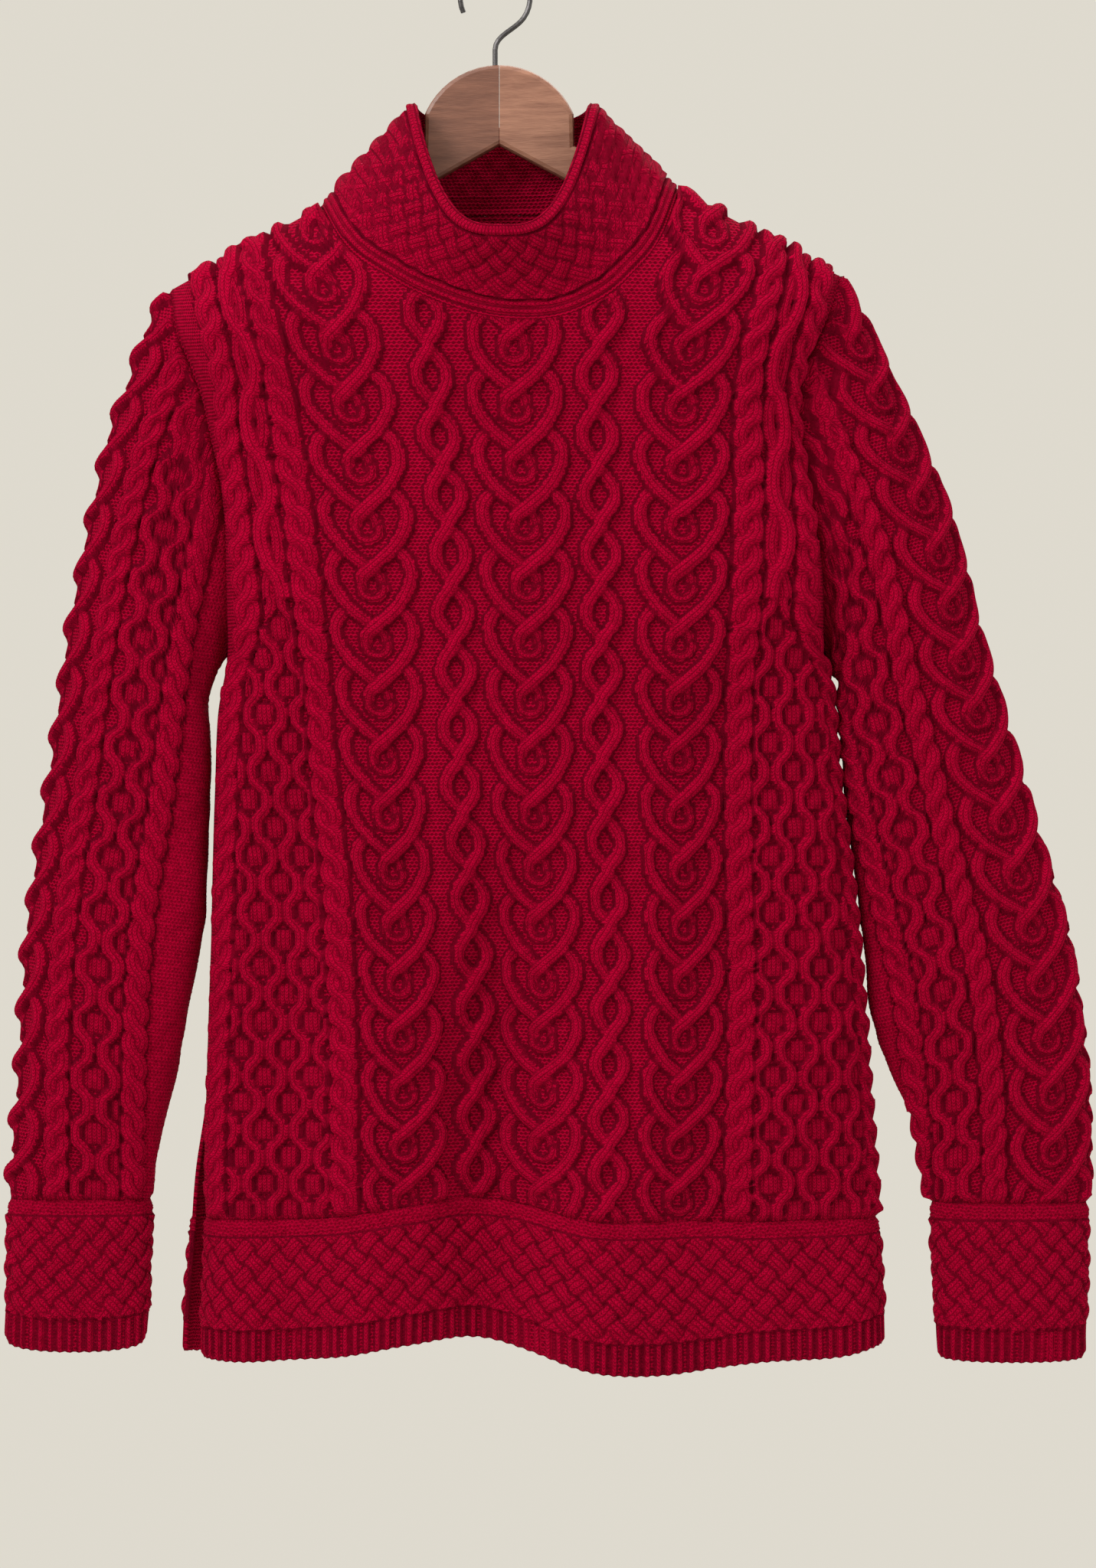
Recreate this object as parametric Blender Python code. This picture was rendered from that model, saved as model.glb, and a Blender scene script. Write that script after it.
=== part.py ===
"""Cable-knit sweater with a funnel neck, hung on a two-piece wooden hanger.

Frame: metres, +Z up, +X to the viewer's right, -Y the front of the sweater. The origin is where a rail
carries the hook. Each knitted piece is a wall: its outer points follow the garment's form and rise over
the cables, and its inside is plain.
"""

import math

import bmesh
import bpy
import numpy as np

MM = 0.001

# Knitted wall, measured from the form surface that every piece shares
PLAIN_INSIDE = 3.9 * MM
PURL_GROUND = 1.4 * MM
CABLE_RISE = 3.8 * MM
WEAVE_RISE = 1.6 * MM
SEAM_HALF_GAP = 0.2 * MM

# Cable repeat, shorter towards the hem
HEM_SEAM_Z = -774 * MM
HEM_REPEAT = 32.4 * MM
NECK_REPEAT = 36.9 * MM
REPEAT_SPAN = 550.4 * MM
CROSSING_OFFSET = 0.294
ROWS_PER_REPEAT = 2
SLEEVE_REPEAT = 34 * MM

# Heights that divide the body
ARMPIT_Z = -430 * MM
VENT_Z = -699 * MM
YOKE_ROWS_FROM = -270 * MM
YOKE_ROWS = 6
HEM_ROWS_FROM = -700 * MM
HEM_ROWS = 4
CUFF_ROWS = 4
ROPE_YOKE_FROM = -400 * MM

# Shoulders fall away from the neck on both sides
NECK_LEFT = (-108.6 * MM, -148 * MM)
NECK_RIGHT = (115 * MM, -138.5 * MM)
LEFT_FALL = 0.558
RIGHT_FALL = 0.531
SHOULDER_ROUND = {"front": 85 * MM, "back": 70 * MM}
SECTION_POWER = 2.6
SECTION_ASPECT = 0.27

# Body sections from the hem up, in mm. left and right are the front's side edges, or its armhole edges
# above the armpit. The edge columns are how far those edges stand from the middle plane, and the back's
# own edges differ at the vents.
BODY_COLUMNS = ("z", "left", "right", "centre", "front", "back", "front_edge", "back_edge",
                "back_left", "back_right")
BODY = np.array([
    (-880, -181, 240, 26, 55, 38, 9, 7, -195, 236),
    (-843, -181, 240, 26, 56, 38, 8, 6, -194, 236),
    (-795, -179, 238, 26, 56, 38, 6, 5, -190.5, 234),
    (-747, -181, 234, 26, 56, 38, 3, 3, -187, 232),
    (-699, -180, 230.5, 26, 56, 38, 0, 0, -180, 230.5),
    (-646, -178.5, 227, 25, 55, 38, 0, 0, -178.5, 227),
    (-603, -177, 223.5, 23, 55, 38, 0, 0, -177, 223.5),
    (-555, -176, 218.5, 20, 55, 38, 0, 0, -176, 218.5),
    (-507, -174.5, 212.5, 17, 56, 38, 0, 0, -174.5, 212.5),
    (-458, -172, 208, 15.5, 56, 38, 0, 0, -172, 208),
    (-430, -167, 205, 15, 57, 38, 0, 0, -167, 205),
    (-400, -166, 203.5, 14.5, 57, 37, 13, 11, -166, 203.5),
    (-373, -166, 202, 14, 57, 37, 19, 15, -166, 202),
    (-346, -166.5, 197, 13.5, 57, 36, 22, 17, -166.5, 197),
    (-320, -169.5, 190.5, 13, 57, 36, 23, 18, -169.5, 190.5),
    (-293, -175, 186, 12.5, 57, 35, 24, 19, -175, 186),
    (-267, -181, 185, 12, 58, 33, 24, 19, -181, 185),
    (-250, -187, 190, 11.7, 58, 32, 24, 19, -187, 190),
    (-226, -197, 202, 11.7, 59, 31, 23, 21, -197, 202),
    (-191, -201, 213.8, 11.7, 58, 29, 22, 21, -201, 213.8),
    (-138, -201, 213.8, 11.7, 52, 27, 22, 21, -201, 213.8),
]) * MM

# Raised strands
HEART_SPREAD = 26 * MM
HEART_HALF_STRAND = 9 * MM
CURL_HALF_STRAND = 7 * MM
CHAIN_SPREAD = 8 * MM
CHAIN_HALF_STRAND = 6 * MM
ROPE_SWAY = 4 * MM
ROPE_HALF_STRAND = 8.5 * MM
CELL_WIDTH = 18 * MM

# Cable lanes from the panel's middle outwards, in mm, and the share of the half panel they end at
LANE_ENDS = np.array([0, 28, 56, 114, 132, 186, 204, 210]) * MM
LANE_SHARES_Z = np.array([-600, -450, -330]) * MM
LANE_SHARES = np.array([
    (0, 0.133, 0.267, 0.543, 0.629, 0.886, 0.971, 1),
    (0, 0.142, 0.284, 0.578, 0.670, 0.890, 0.972, 1),
    (0, 0.163, 0.326, 0.663, 0.767, 0.950, 0.985, 1),
])
HALF_COLUMNS = np.array([0, 13, 26, 34, 42, 50, 59, 72, 85, 98, 111, 119, 127, 132, 141, 150, 159,
                         168, 177, 186, 195, 204, 210]) * MM

# Neckline and hem lines against x, in mm
FRONT_NECK = np.array([(-108.6, -148), (-96.6, -170), (-63, -198.7), (-34, -213), (9.3, -223.7),
                       (52.6, -218), (81.5, -198.7), (105.6, -165), (115, -138.5)]) * MM
BACK_NECK = np.array([(-108.6, -148), (-60, -151), (0, -152), (60, -149), (115, -138.5)]) * MM
HEM_SEAM = np.array([(-200, -774), (-110, -772), (-50, -764), (-15, -760), (15, -763), (55, -771),
                     (120, -773), (250, -773)]) * MM
HEM_EDGE = np.array([(-200, -856), (-164, -860), (-100, -856), (-50, -848), (-15, -845), (20, -852),
                     (60, -863), (100, -866), (160, -859), (215, -856), (250, -846)]) * MM

# Folds pushed into the body: x at the top and bottom, z from and to, half width, depth, in mm.
# A depth below 0 stands out.
FOLDS = {
    "front": (
        (2, -4, -500, -700, 34, 30),
        (38, 58, -640, -800, 40, -16),
        (-112, -128, -360, -560, 26, 15),
        (-70, -75, -560, -760, 34, -5),
        (150, 128, -420, -470, 26, 8),
        (196, 196, -600, -820, 24, 7),
        (-60, -58, -330, -470, 20, 3),
    ),
    "back": (
        (-60, -78, -480, -760, 38, 9),
        (78, 96, -420, -740, 40, 10),
        (10, 14, -560, -800, 34, -6),
    ),
}

# Collar rim
RIM_X = 4.5 * MM
RIM_HALF_WIDTH = 55.5 * MM
RIM_FRONT_Y = -90 * MM
RIM_BACK_Y = 30 * MM
RIM_FRONT_Z = -165 * MM
RIM_PEAK_Z = -89 * MM
RIM_BACK_Z = -97 * MM
COLLAR_ROWS = 8

# Sleeve rings from the armhole to the cuff seam, in mm: the outer and inner ends of each ring as seen
# from the front, and its half depths
SLEEVES = {
    "left": np.array([
        (-209, -211, -171.5, -436.5, 25, 21),
        (-218, -232, -175, -446, 26, 23),
        (-226, -256, -178, -458, 27, 25),
        (-239, -293, -180.5, -474, 28, 26),
        (-248, -333, -181, -494, 29, 27),
        (-256, -372, -182.5, -517, 29, 27),
        (-263, -410, -184, -540, 29, 27),
        (-270, -460, -186, -568, 29, 27),
        (-276, -507, -187.5, -594, 29, 27),
        (-284, -555, -188.5, -618, 29, 27),
        (-290, -603, -190, -646, 28, 26),
        (-293, -650, -196, -680, 27, 25),
        (-296, -700, -204, -712, 24, 22),
        (-299, -735, -210, -740, 20, 19),
        (-301, -763, -212, -763, 18, 17),
    ]) * MM,
    "right": np.array([
        (222, -206, 210.5, -435.5, 25, 21),
        (231, -224, 215, -444, 25, 22),
        (241, -247, 219, -456, 26, 23),
        (255, -278, 222, -473, 26, 23),
        (276, -327, 224, -498, 25, 22),
        (289, -370, 225.5, -528, 24, 21),
        (300, -415, 227, -558, 23, 20),
        (313, -457, 228, -588, 22, 19),
        (326, -502, 229.5, -615, 21, 18),
        (341, -553, 231.5, -641, 20, 18),
        (354, -600, 237, -665, 20, 18),
        (362, -650, 247, -689, 19, 17),
        (366, -700, 258, -714, 19, 17),
        (367, -736, 265, -741, 18, 17),
        (367, -765, 269, -765, 18, 17),
    ]) * MM,
}
CUFF_END = {
    "left": (-303 * MM, -850 * MM, -216 * MM, -850 * MM, 18 * MM, 17 * MM),
    "right": (365 * MM, -860 * MM, 274 * MM, -860 * MM, 18 * MM, 17 * MM),
}
SLEEVE_TURN = {"left": 0.0, "right": 30 * MM}
SLEEVE_HALF_COLUMNS = np.array([0, 13, 26, 36, 43, 54, 65, 73, 80, 95, 110]) * MM
SLEEVE_CABLES = 80 * MM
SLEEVE_HALF_GIRTH = 110 * MM
SLEEVE_PLAIN_SHARE = 1.12
SLEEVE_ROW = 17 * MM
RING_POWER = 2.2
RING_STEPS = 240

# Hanger and hook
ARM_HALF_THICKNESS = 5.8 * MM
ARM_DROP = 8.6 * MM
ARM_HEIGHT = 29 * MM
ARM_ROUND = 3 * MM
ARM_ENDS = {"left": -183 * MM, "right": 197 * MM}
DOME_X = 2.6 * MM
DOME_TOP = -62 * MM
DOME_RADIUS = 50 * MM
DOME_HALF_WIDTH = 46.4 * MM
JOINT_X = 2.6 * MM
JOINT_HALF_GAP = 0.15 * MM
APEX_Z = -111.5 * MM
WIRE_RADIUS = 1.6 * MM
HOOK_INNER_RADIUS = 20 * MM
STEM_DEPTH = 18 * MM
HOLE_CLEARANCE = 0.3 * MM


def curve_through(x, xs, ys):
    """Smooth curve through the points (xs, ys), read at x."""
    slopes = np.gradient(ys, xs)
    k = np.clip(np.searchsorted(xs, x) - 1, 0, len(xs) - 2)
    step = xs[k + 1] - xs[k]
    t = np.clip((x - xs[k]) / step, 0, 1)
    rise = 3 * t**2 - 2 * t**3
    bend = slopes[k] * (t**3 - 2 * t**2 + t) + slopes[k + 1] * (t**3 - t**2)
    return ys[k] * (1 - rise) + ys[k + 1] * rise + bend * step


def body_value(name, z):
    """A named column of the body table at height z."""
    return curve_through(z, BODY[:, 0], BODY[:, BODY_COLUMNS.index(name)])


def unit(vectors):
    """The vectors at length 1."""
    return vectors / np.linalg.norm(vectors, axis=-1, keepdims=True)


def smooth_step(t):
    """Rises softly from 0 to 1."""
    t = np.clip(t, 0, 1)
    return t * t * (3 - 2 * t)


def section_table():
    """Even arc lengths round a quarter of the body's section: share, across, deep."""
    angle = np.linspace(0, math.pi / 2, 400)
    across = np.sin(angle) ** (2 / SECTION_POWER)
    deep = np.cos(angle).clip(0) ** (2 / SECTION_POWER)
    steps = np.hypot(np.diff(across), SECTION_ASPECT * np.diff(deep))
    share = np.concatenate(([0], np.cumsum(steps)))
    return share / share[-1], across, deep


SECTION = section_table()


def lane_share(u, z):
    """Share of the half panel's arc at lane coordinate u and height z."""
    u = np.abs(u)
    share = np.zeros(np.broadcast(u, z).shape)
    for k in range(len(LANE_ENDS) - 1):
        t = np.clip((u - LANE_ENDS[k]) / (LANE_ENDS[k + 1] - LANE_ENDS[k]), 0, 1)
        width = np.interp(z, LANE_SHARES_Z, LANE_SHARES[:, k + 1] - LANE_SHARES[:, k])
        share = share + t * width
    return share


def shoulder_height(x):
    """Height of the shoulder line over x, carried on to the middle."""
    left = NECK_LEFT[1] + (x - NECK_LEFT[0]) * LEFT_FALL
    right = NECK_RIGHT[1] - (x - NECK_RIGHT[0]) * RIGHT_FALL
    return np.minimum(left, right)


def top_height(face, x):
    """Height of a panel's top edge over x: the neckline, then the shoulders."""
    line = FRONT_NECK if face == "front" else BACK_NECK
    inside = (x > NECK_LEFT[0]) & (x < NECK_RIGHT[0])
    return np.where(inside, curve_through(x, line[:, 0], line[:, 1]), shoulder_height(x))


def fold_depth(face, x, z):
    """How far the folds push the cloth in at x and z."""
    total = np.zeros(np.broadcast(x, z).shape)
    for row in FOLDS[face]:
        x_top, x_bottom, z_top, z_bottom, half_width, depth = (value * MM for value in row)
        down = np.clip((z_top - z) / (z_top - z_bottom), 0, 1)
        middle = x_top + (x_bottom - x_top) * down
        total = total + depth * smooth_step(down) * np.exp(-(((x - middle) / half_width) ** 2))
    return total


def body_form(face, u, z):
    """Points of the front or back form at lane coordinate u and height z."""
    u, z = np.broadcast_arrays(u, z)
    share = lane_share(u, z)
    across = np.interp(share, SECTION[0], SECTION[1])
    deep = np.interp(share, SECTION[0], SECTION[2])
    names = ("left", "right") if face == "front" else ("back_left", "back_right")
    centre = body_value("centre", z)
    edge = np.where(u < 0, body_value(names[0], z), body_value(names[1], z))
    x = centre + (edge - centre) * across
    edge_depth = np.maximum(body_value(face + "_edge", z), 0)
    depth = edge_depth + (body_value(face, z) - edge_depth) * deep
    fall = np.clip((shoulder_height(x) - z) / SHOULDER_ROUND[face], 0, 1)
    depth = depth * np.sqrt(1 - (1 - fall) ** 2) - fold_depth(face, x, z) * deep
    return np.stack((x, depth if face == "back" else -depth, z), axis=-1)


def neck_column(side):
    """Lane coordinate that meets the neck point on one side."""
    x, z = NECK_LEFT if side < 0 else NECK_RIGHT
    u = side * np.linspace(60, 130, 1401) * MM
    return float(u[np.argmin(np.abs(body_form("front", u, z)[:, 0] - x))])


NECK_COLUMNS = (neck_column(-1), neck_column(1))
COLUMNS = np.sort(np.concatenate((-HALF_COLUMNS[1:], HALF_COLUMNS, NECK_COLUMNS)))


def repeat_count(z):
    """Cable repeats from the hem seam up to z. Strands cross at whole numbers."""
    growth = (NECK_REPEAT - HEM_REPEAT) / REPEAT_SPAN
    return np.log1p((z - HEM_SEAM_Z) * growth / HEM_REPEAT) / growth + CROSSING_OFFSET


def height_of_repeat(count):
    """Height at which repeat_count has the given value."""
    growth = (NECK_REPEAT - HEM_REPEAT) / REPEAT_SPAN
    return HEM_SEAM_Z + HEM_REPEAT / growth * np.expm1((count - CROSSING_OFFSET) * growth)


def body_rows():
    """Nominal row heights from the hem seam to where the yoke rows start."""
    counts = np.arange(1, 20 * ROWS_PER_REPEAT) / ROWS_PER_REPEAT
    heights = height_of_repeat(counts)
    heights = heights[(heights > HEM_SEAM_Z + 8 * MM) & (heights < YOKE_ROWS_FROM - 6 * MM)]
    heights[np.argmin(np.abs(heights - ARMPIT_Z))] = ARMPIT_Z
    return np.concatenate(([HEM_SEAM_Z], heights, [YOKE_ROWS_FROM]))


def panel_top(face, u):
    """Height of the top edge at lane coordinate u."""
    z = np.full(u.shape, -190 * MM)
    for _ in range(12):
        z = top_height(face, body_form(face, u, z)[..., 0])
    for neck_u, neck in zip(NECK_COLUMNS, (NECK_LEFT, NECK_RIGHT)):
        z = np.where(u == neck_u, neck[1], z)
    return z


def line_under(line, face, u, nominal):
    """Height of a hem line at lane coordinate u."""
    x = body_form(face, u, np.full(u.shape, nominal))[..., 0]
    return curve_through(x, line[:, 0], line[:, 1])


def ridge(distance, half_width):
    """Height of a strand at a distance from its middle."""
    return np.clip(1 - np.abs(distance) / half_width, 0, 1)


def heart_cable(x, turn):
    """Two strands that part from a crossing and curl back over the next one."""
    part = turn % 1
    arms = ridge(np.abs(x) - HEART_SPREAD * part, HEART_HALF_STRAND)
    curls = 0.8 * ridge(np.abs(x) - HEART_SPREAD * (1 - part), CURL_HALF_STRAND) * (part < 0.4)
    return np.maximum(arms, curls)


def chain_cable(x, turn):
    """Two strands that cross once a repeat and open into rings between."""
    return ridge(np.abs(x) - CHAIN_SPREAD * np.abs(np.sin(math.pi * turn)), CHAIN_HALF_STRAND)


def rope_cable(x, turn):
    """Two strands twisted together: the upper one leans from side to side."""
    return ridge(x - ROPE_SWAY * np.cos(2 * math.pi * turn), ROPE_HALF_STRAND)


def honeycomb(x, turn):
    """Staggered cells, each a hollow between strands."""
    cell = np.floor(x / CELL_WIDTH)
    across = x / CELL_WIDTH - cell - 0.5
    hollow = np.cos(math.pi * across) ** 2 * (0.5 + 0.5 * np.cos(2 * math.pi * (turn - cell / 2)))
    return 0.95 - 0.95 * hollow


def body_relief(u, z):
    """Rise of the body's cables, 0 on the purl ground and 1 on a crest."""
    a = np.abs(u)
    turn = repeat_count(z)
    ropes = np.maximum.reduce([rope_cable(a - at * MM, turn) for at in (141, 159, 177)])
    cells = np.where(z > ROPE_YOKE_FROM, ropes, honeycomb(a - 132 * MM, turn))
    lanes = (
        (28, heart_cable(u, turn)),
        (57, chain_cable(a - 42 * MM, turn)),
        (114, heart_cable(a - 85 * MM, turn)),
        (132, rope_cable(a - 123 * MM, turn)),
        (186, cells),
        (204, rope_cable(a - 195 * MM, turn)),
    )
    rise = np.zeros(a.shape)
    for end, lane in reversed(lanes):
        rise = np.where(a < end * MM, lane, rise)
    return rise


def sleeve_relief(u, along):
    """Rise of a sleeve's cables."""
    a = np.abs(u)
    turn = along / SLEEVE_REPEAT
    lanes = (
        (29, heart_cable(u, turn)),
        (42, ridge(a - 36 * MM, 6 * MM) * (0.8 + 0.2 * np.cos(2 * math.pi * turn))),
        (66, ridge(a - 54 * MM, 10 * MM) * (0.65 + 0.35 * np.cos(2 * math.pi * turn))),
        (80, ridge(a - 73 * MM, 6 * MM) * (0.8 - 0.2 * np.cos(2 * math.pi * turn))),
        (109, np.full(a.shape, 0.35)),
    )
    rise = np.zeros(a.shape)
    for end, lane in reversed(lanes):
        rise = np.where(a < end * MM, lane, rise)
    return rise


def woven_relief(rows, columns):
    """Rise of the basket weave: every other block, one row and one column apart."""
    row, column = np.indices((rows, columns))
    return ((row + column) % 2) * 1.0


def grid_normals(points, closed, outward_from):
    """Outward directions of a grid of form points."""
    if closed:
        around = np.roll(points, -1, axis=1) - np.roll(points, 1, axis=1)
    else:
        around = np.gradient(points, axis=1)
    normals = unit(np.cross(around, np.gradient(points, axis=0)))
    if np.sum(normals * (points - outward_from)) < 0:
        normals = -normals
    return normals


def seam_fade(points, closed):
    """0 on the grid's borders and 1 inside, so that cables sink into the seams."""
    fade = np.ones(points.shape[:2])
    fade[0] = fade[-1] = 0
    if not closed:
        fade[:, 0] = fade[:, -1] = 0
    return fade


def part_seams(points, closed):
    """The points with each border drawn back from the seam by half the gap."""
    parted = points.copy()
    pairs = [(np.s_[0], np.s_[1]), (np.s_[-1], np.s_[-2])]
    if not closed:
        pairs += [(np.s_[:, 0], np.s_[:, 1]), (np.s_[:, -1], np.s_[:, -2])]
    for border, inside in pairs:
        parted[border] += SEAM_HALF_GAP * unit(points[inside] - points[border])
    return parted


def add_grid(bm, points):
    """A bmesh grid moved to the points. Returns its vertices as rows and columns."""
    rows, columns = points.shape[:2]
    made = bmesh.ops.create_grid(bm, x_segments=columns - 1, y_segments=rows - 1, size=0.5)
    ordered = sorted(made["verts"], key=lambda v: (round(v.co.y, 5), round(v.co.x, 5)))
    for vertex, place in zip(ordered, points.reshape(-1, 3)):
        vertex.co = place
    return [ordered[k * columns:(k + 1) * columns] for k in range(rows)]


def split_along_crests(bm, grid, rise):
    """Cuts each quad from corner to corner along the higher pair."""
    rows, columns = rise.shape
    faces = {frozenset(f.verts): f for f in bm.faces}
    for i in range(rows - 1):
        for j in range(columns - 1):
            a, b = grid[i][j], grid[i][j + 1]
            c, d = grid[i + 1][j + 1], grid[i + 1][j]
            face = faces[frozenset((a, b, c, d))]
            if rise[i, j] + rise[i + 1, j + 1] >= rise[i, j + 1] + rise[i + 1, j]:
                bmesh.utils.face_split(face, a, c)
            else:
                bmesh.utils.face_split(face, b, d)


def border(grid):
    """The grid's border vertices in order, with each one's place from 0 to 4."""
    rows, columns = len(grid), len(grid[0])
    ring = [(grid[0][j], j / (columns - 1)) for j in range(columns - 1)]
    ring += [(grid[i][-1], 1 + i / (rows - 1)) for i in range(rows - 1)]
    ring += [(grid[-1][j], 2 + 1 - j / (columns - 1)) for j in range(columns - 1, 0, -1)]
    ring += [(grid[i][0], 3 + 1 - i / (rows - 1)) for i in range(rows - 1, 0, -1)]
    return ring


def zip_rings(bm, first, second, length):
    """Closes the strip between two rings of (vertex, place) with any counts."""
    i = j = 0
    while i < len(first) or j < len(second):
        a, b = first[i % len(first)][0], second[j % len(second)][0]
        next_a, next_b = first[(i + 1) % len(first)], second[(j + 1) % len(second)]
        place_a = next_a[1] + (length if i + 1 >= len(first) else 0)
        place_b = next_b[1] + (length if j + 1 >= len(second) else 0)
        if j >= len(second) or (i < len(first) and place_a <= place_b):
            bm.faces.new((a, next_a[0], b))
            i += 1
        else:
            bm.faces.new((a, next_b[0], b))
            j += 1


def finish_object(name, bm, material, smooth=False):
    """Turns the bmesh into a named object in the sweater's collection."""
    bmesh.ops.remove_doubles(bm, verts=bm.verts, dist=1e-6)
    bmesh.ops.recalc_face_normals(bm, faces=bm.faces)
    mesh = bpy.data.meshes.new(name)
    bm.to_mesh(mesh)
    bm.free()
    mesh.materials.append(material)
    if smooth:
        mesh.shade_smooth()
    obj = bpy.data.objects.new(name, mesh)
    bpy.data.collections["sweater_on_hanger"].objects.link(obj)
    return obj


def knitted_panel(name, points, normals, rise, height, material, row_step, column_step):
    """Open panel: raised outside, plain inside and a rim all round."""
    form = part_seams(points, closed=False)
    outside = form + normals * (rise * height - PURL_GROUND)[..., None]
    inside = form - normals * PLAIN_INSIDE
    bm = bmesh.new()
    outer = add_grid(bm, outside)
    split_along_crests(bm, outer, rise)
    rim = [(bm.verts.new(place), at) for place, at in border_points(inside)]
    zip_rings(bm, border(outer), rim, 4)
    rows = inner_steps(len(points), row_step)
    columns = inner_steps(len(points[0]), column_step)
    lining = add_grid(bm, inside[np.ix_(rows, columns)])
    zip_rings(bm, rim, border(lining), 4)
    return finish_object(name, bm, material)


def border_points(points):
    """The border of an array of points, in the same order as border()."""
    rows, columns = points.shape[:2]
    index = [[(i, j) for j in range(columns)] for i in range(rows)]
    return [(points[place], at) for place, at in border(index)]


def inner_steps(count, step):
    """Indexes of the plain inside's own rows or columns, one in from each border."""
    pieces = max(1, round((count - 3) / step))
    return np.unique(np.round(np.linspace(1, count - 2, pieces + 1)).astype(int))


def body_grid(face):
    """Form points and lane coordinates of a whole body panel."""
    rows = body_rows()
    bottom = line_under(HEM_SEAM, face, COLUMNS, HEM_SEAM_Z)
    top = panel_top(face, COLUMNS)
    low = rows[:, None] + np.zeros(len(COLUMNS))
    stretch = (HEM_ROWS_FROM - bottom) / (HEM_ROWS_FROM - HEM_SEAM_Z)
    low = np.where(low < HEM_ROWS_FROM, HEM_ROWS_FROM - (HEM_ROWS_FROM - low) * stretch, low)
    rise = np.sin(np.linspace(0, math.pi / 2, YOKE_ROWS + 1))[1:, None]
    high = YOKE_ROWS_FROM + (top - YOKE_ROWS_FROM) * rise
    z = np.vstack((low, high))
    u = np.broadcast_to(COLUMNS, z.shape)
    return body_form(face, u, z), u, z


def side_directions(face, points, z, normals):
    """Gives the normals on the side, armhole, shoulder and neck borders their shared directions."""
    for column, side in ((0, -1), (-1, 1)):
        for i, height in enumerate(z[:, column]):
            if height < VENT_Z - MM:
                continue
            if height <= ARMPIT_Z - MM:
                normals[i, column] = (side, 0, 0)
            else:
                normals[i, column] = armhole_direction(face, side, height, z[-1, column])
    neck = [k for k, u in enumerate(COLUMNS) if NECK_COLUMNS[0] <= u <= NECK_COLUMNS[1]]
    for k, u in enumerate(COLUMNS):
        if 0 < k < len(COLUMNS) - 1:
            side = -1 if points[-1, k, 0] < 0 else 1
            normals[-1, k] = unit(np.array((0.5 * side, 0, 0.87)))
    for k, direction in zip(neck, neck_directions(face, points[-1, neck])):
        normals[-1, k] = direction
    return neck


def armhole_direction(face, side, z, tip_z):
    """Shared outward direction of body and sleeve on the armhole seam."""
    down = np.clip((tip_z - z) / (tip_z - ARMPIT_Z), 0, 1)
    forward = math.sin(math.pi * down) * (-1 if face == "front" else 1)
    sideways = 0.57 * (1 - down) ** 2 + 1.0 * down**3
    return unit(np.array((side * sideways, forward, math.cos(math.pi * down))))


def arc_share(points):
    """Share of the length along a line of points."""
    steps = np.linalg.norm(np.diff(points, axis=0), axis=1)
    length = np.concatenate(([0], np.cumsum(steps)))
    return length / length[-1]


def neck_directions(face, points):
    """Shared outward directions of body and collar on the neck seam, left to right."""
    angle = math.pi * (1 - arc_share(points))
    forward = np.sin(angle) * (-1 if face == "front" else 1)
    return unit(np.stack((0.6 * np.cos(angle), forward, 0.8 * np.abs(np.cos(angle))), axis=-1))


def make_body(material):
    """Front and back panels. Returns what the collar, sleeves and hem bands share with them."""
    shared = {}
    for face in ("front", "back"):
        points, u, z = body_grid(face)
        normals = grid_normals(points, False, np.array((15 * MM, 0, -500 * MM)))
        neck = side_directions(face, points, z, normals)
        rise = body_relief(u, z) * seam_fade(points, False)
        knitted_panel(face, points, normals, rise, CABLE_RISE, material, 4, 2)
        shared[face] = {"points": points, "normals": normals, "z": z, "neck": neck}
    return shared


def make_hem(face, body, material):
    """Hem band: moss stitch and basket weave over a ribbed edge."""
    top = body["points"][0]
    bottom = line_under(HEM_EDGE, face, COLUMNS, HEM_SEAM_Z)
    share = np.linspace(1, 0, HEM_ROWS + 1)[:, None]
    z = bottom + (top[:, 2] - bottom) * share
    points = body_form(face, np.broadcast_to(COLUMNS, z.shape), z)[::-1]
    normals = grid_normals(points, False, np.array((15 * MM, 0, -800 * MM)))
    normals[0] = body["normals"][0]
    rise = woven_relief(*points.shape[:2]) * seam_fade(points, False)
    knitted_panel("hem_" + face, points, normals, rise, WEAVE_RISE, material, 2, 2)


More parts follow.
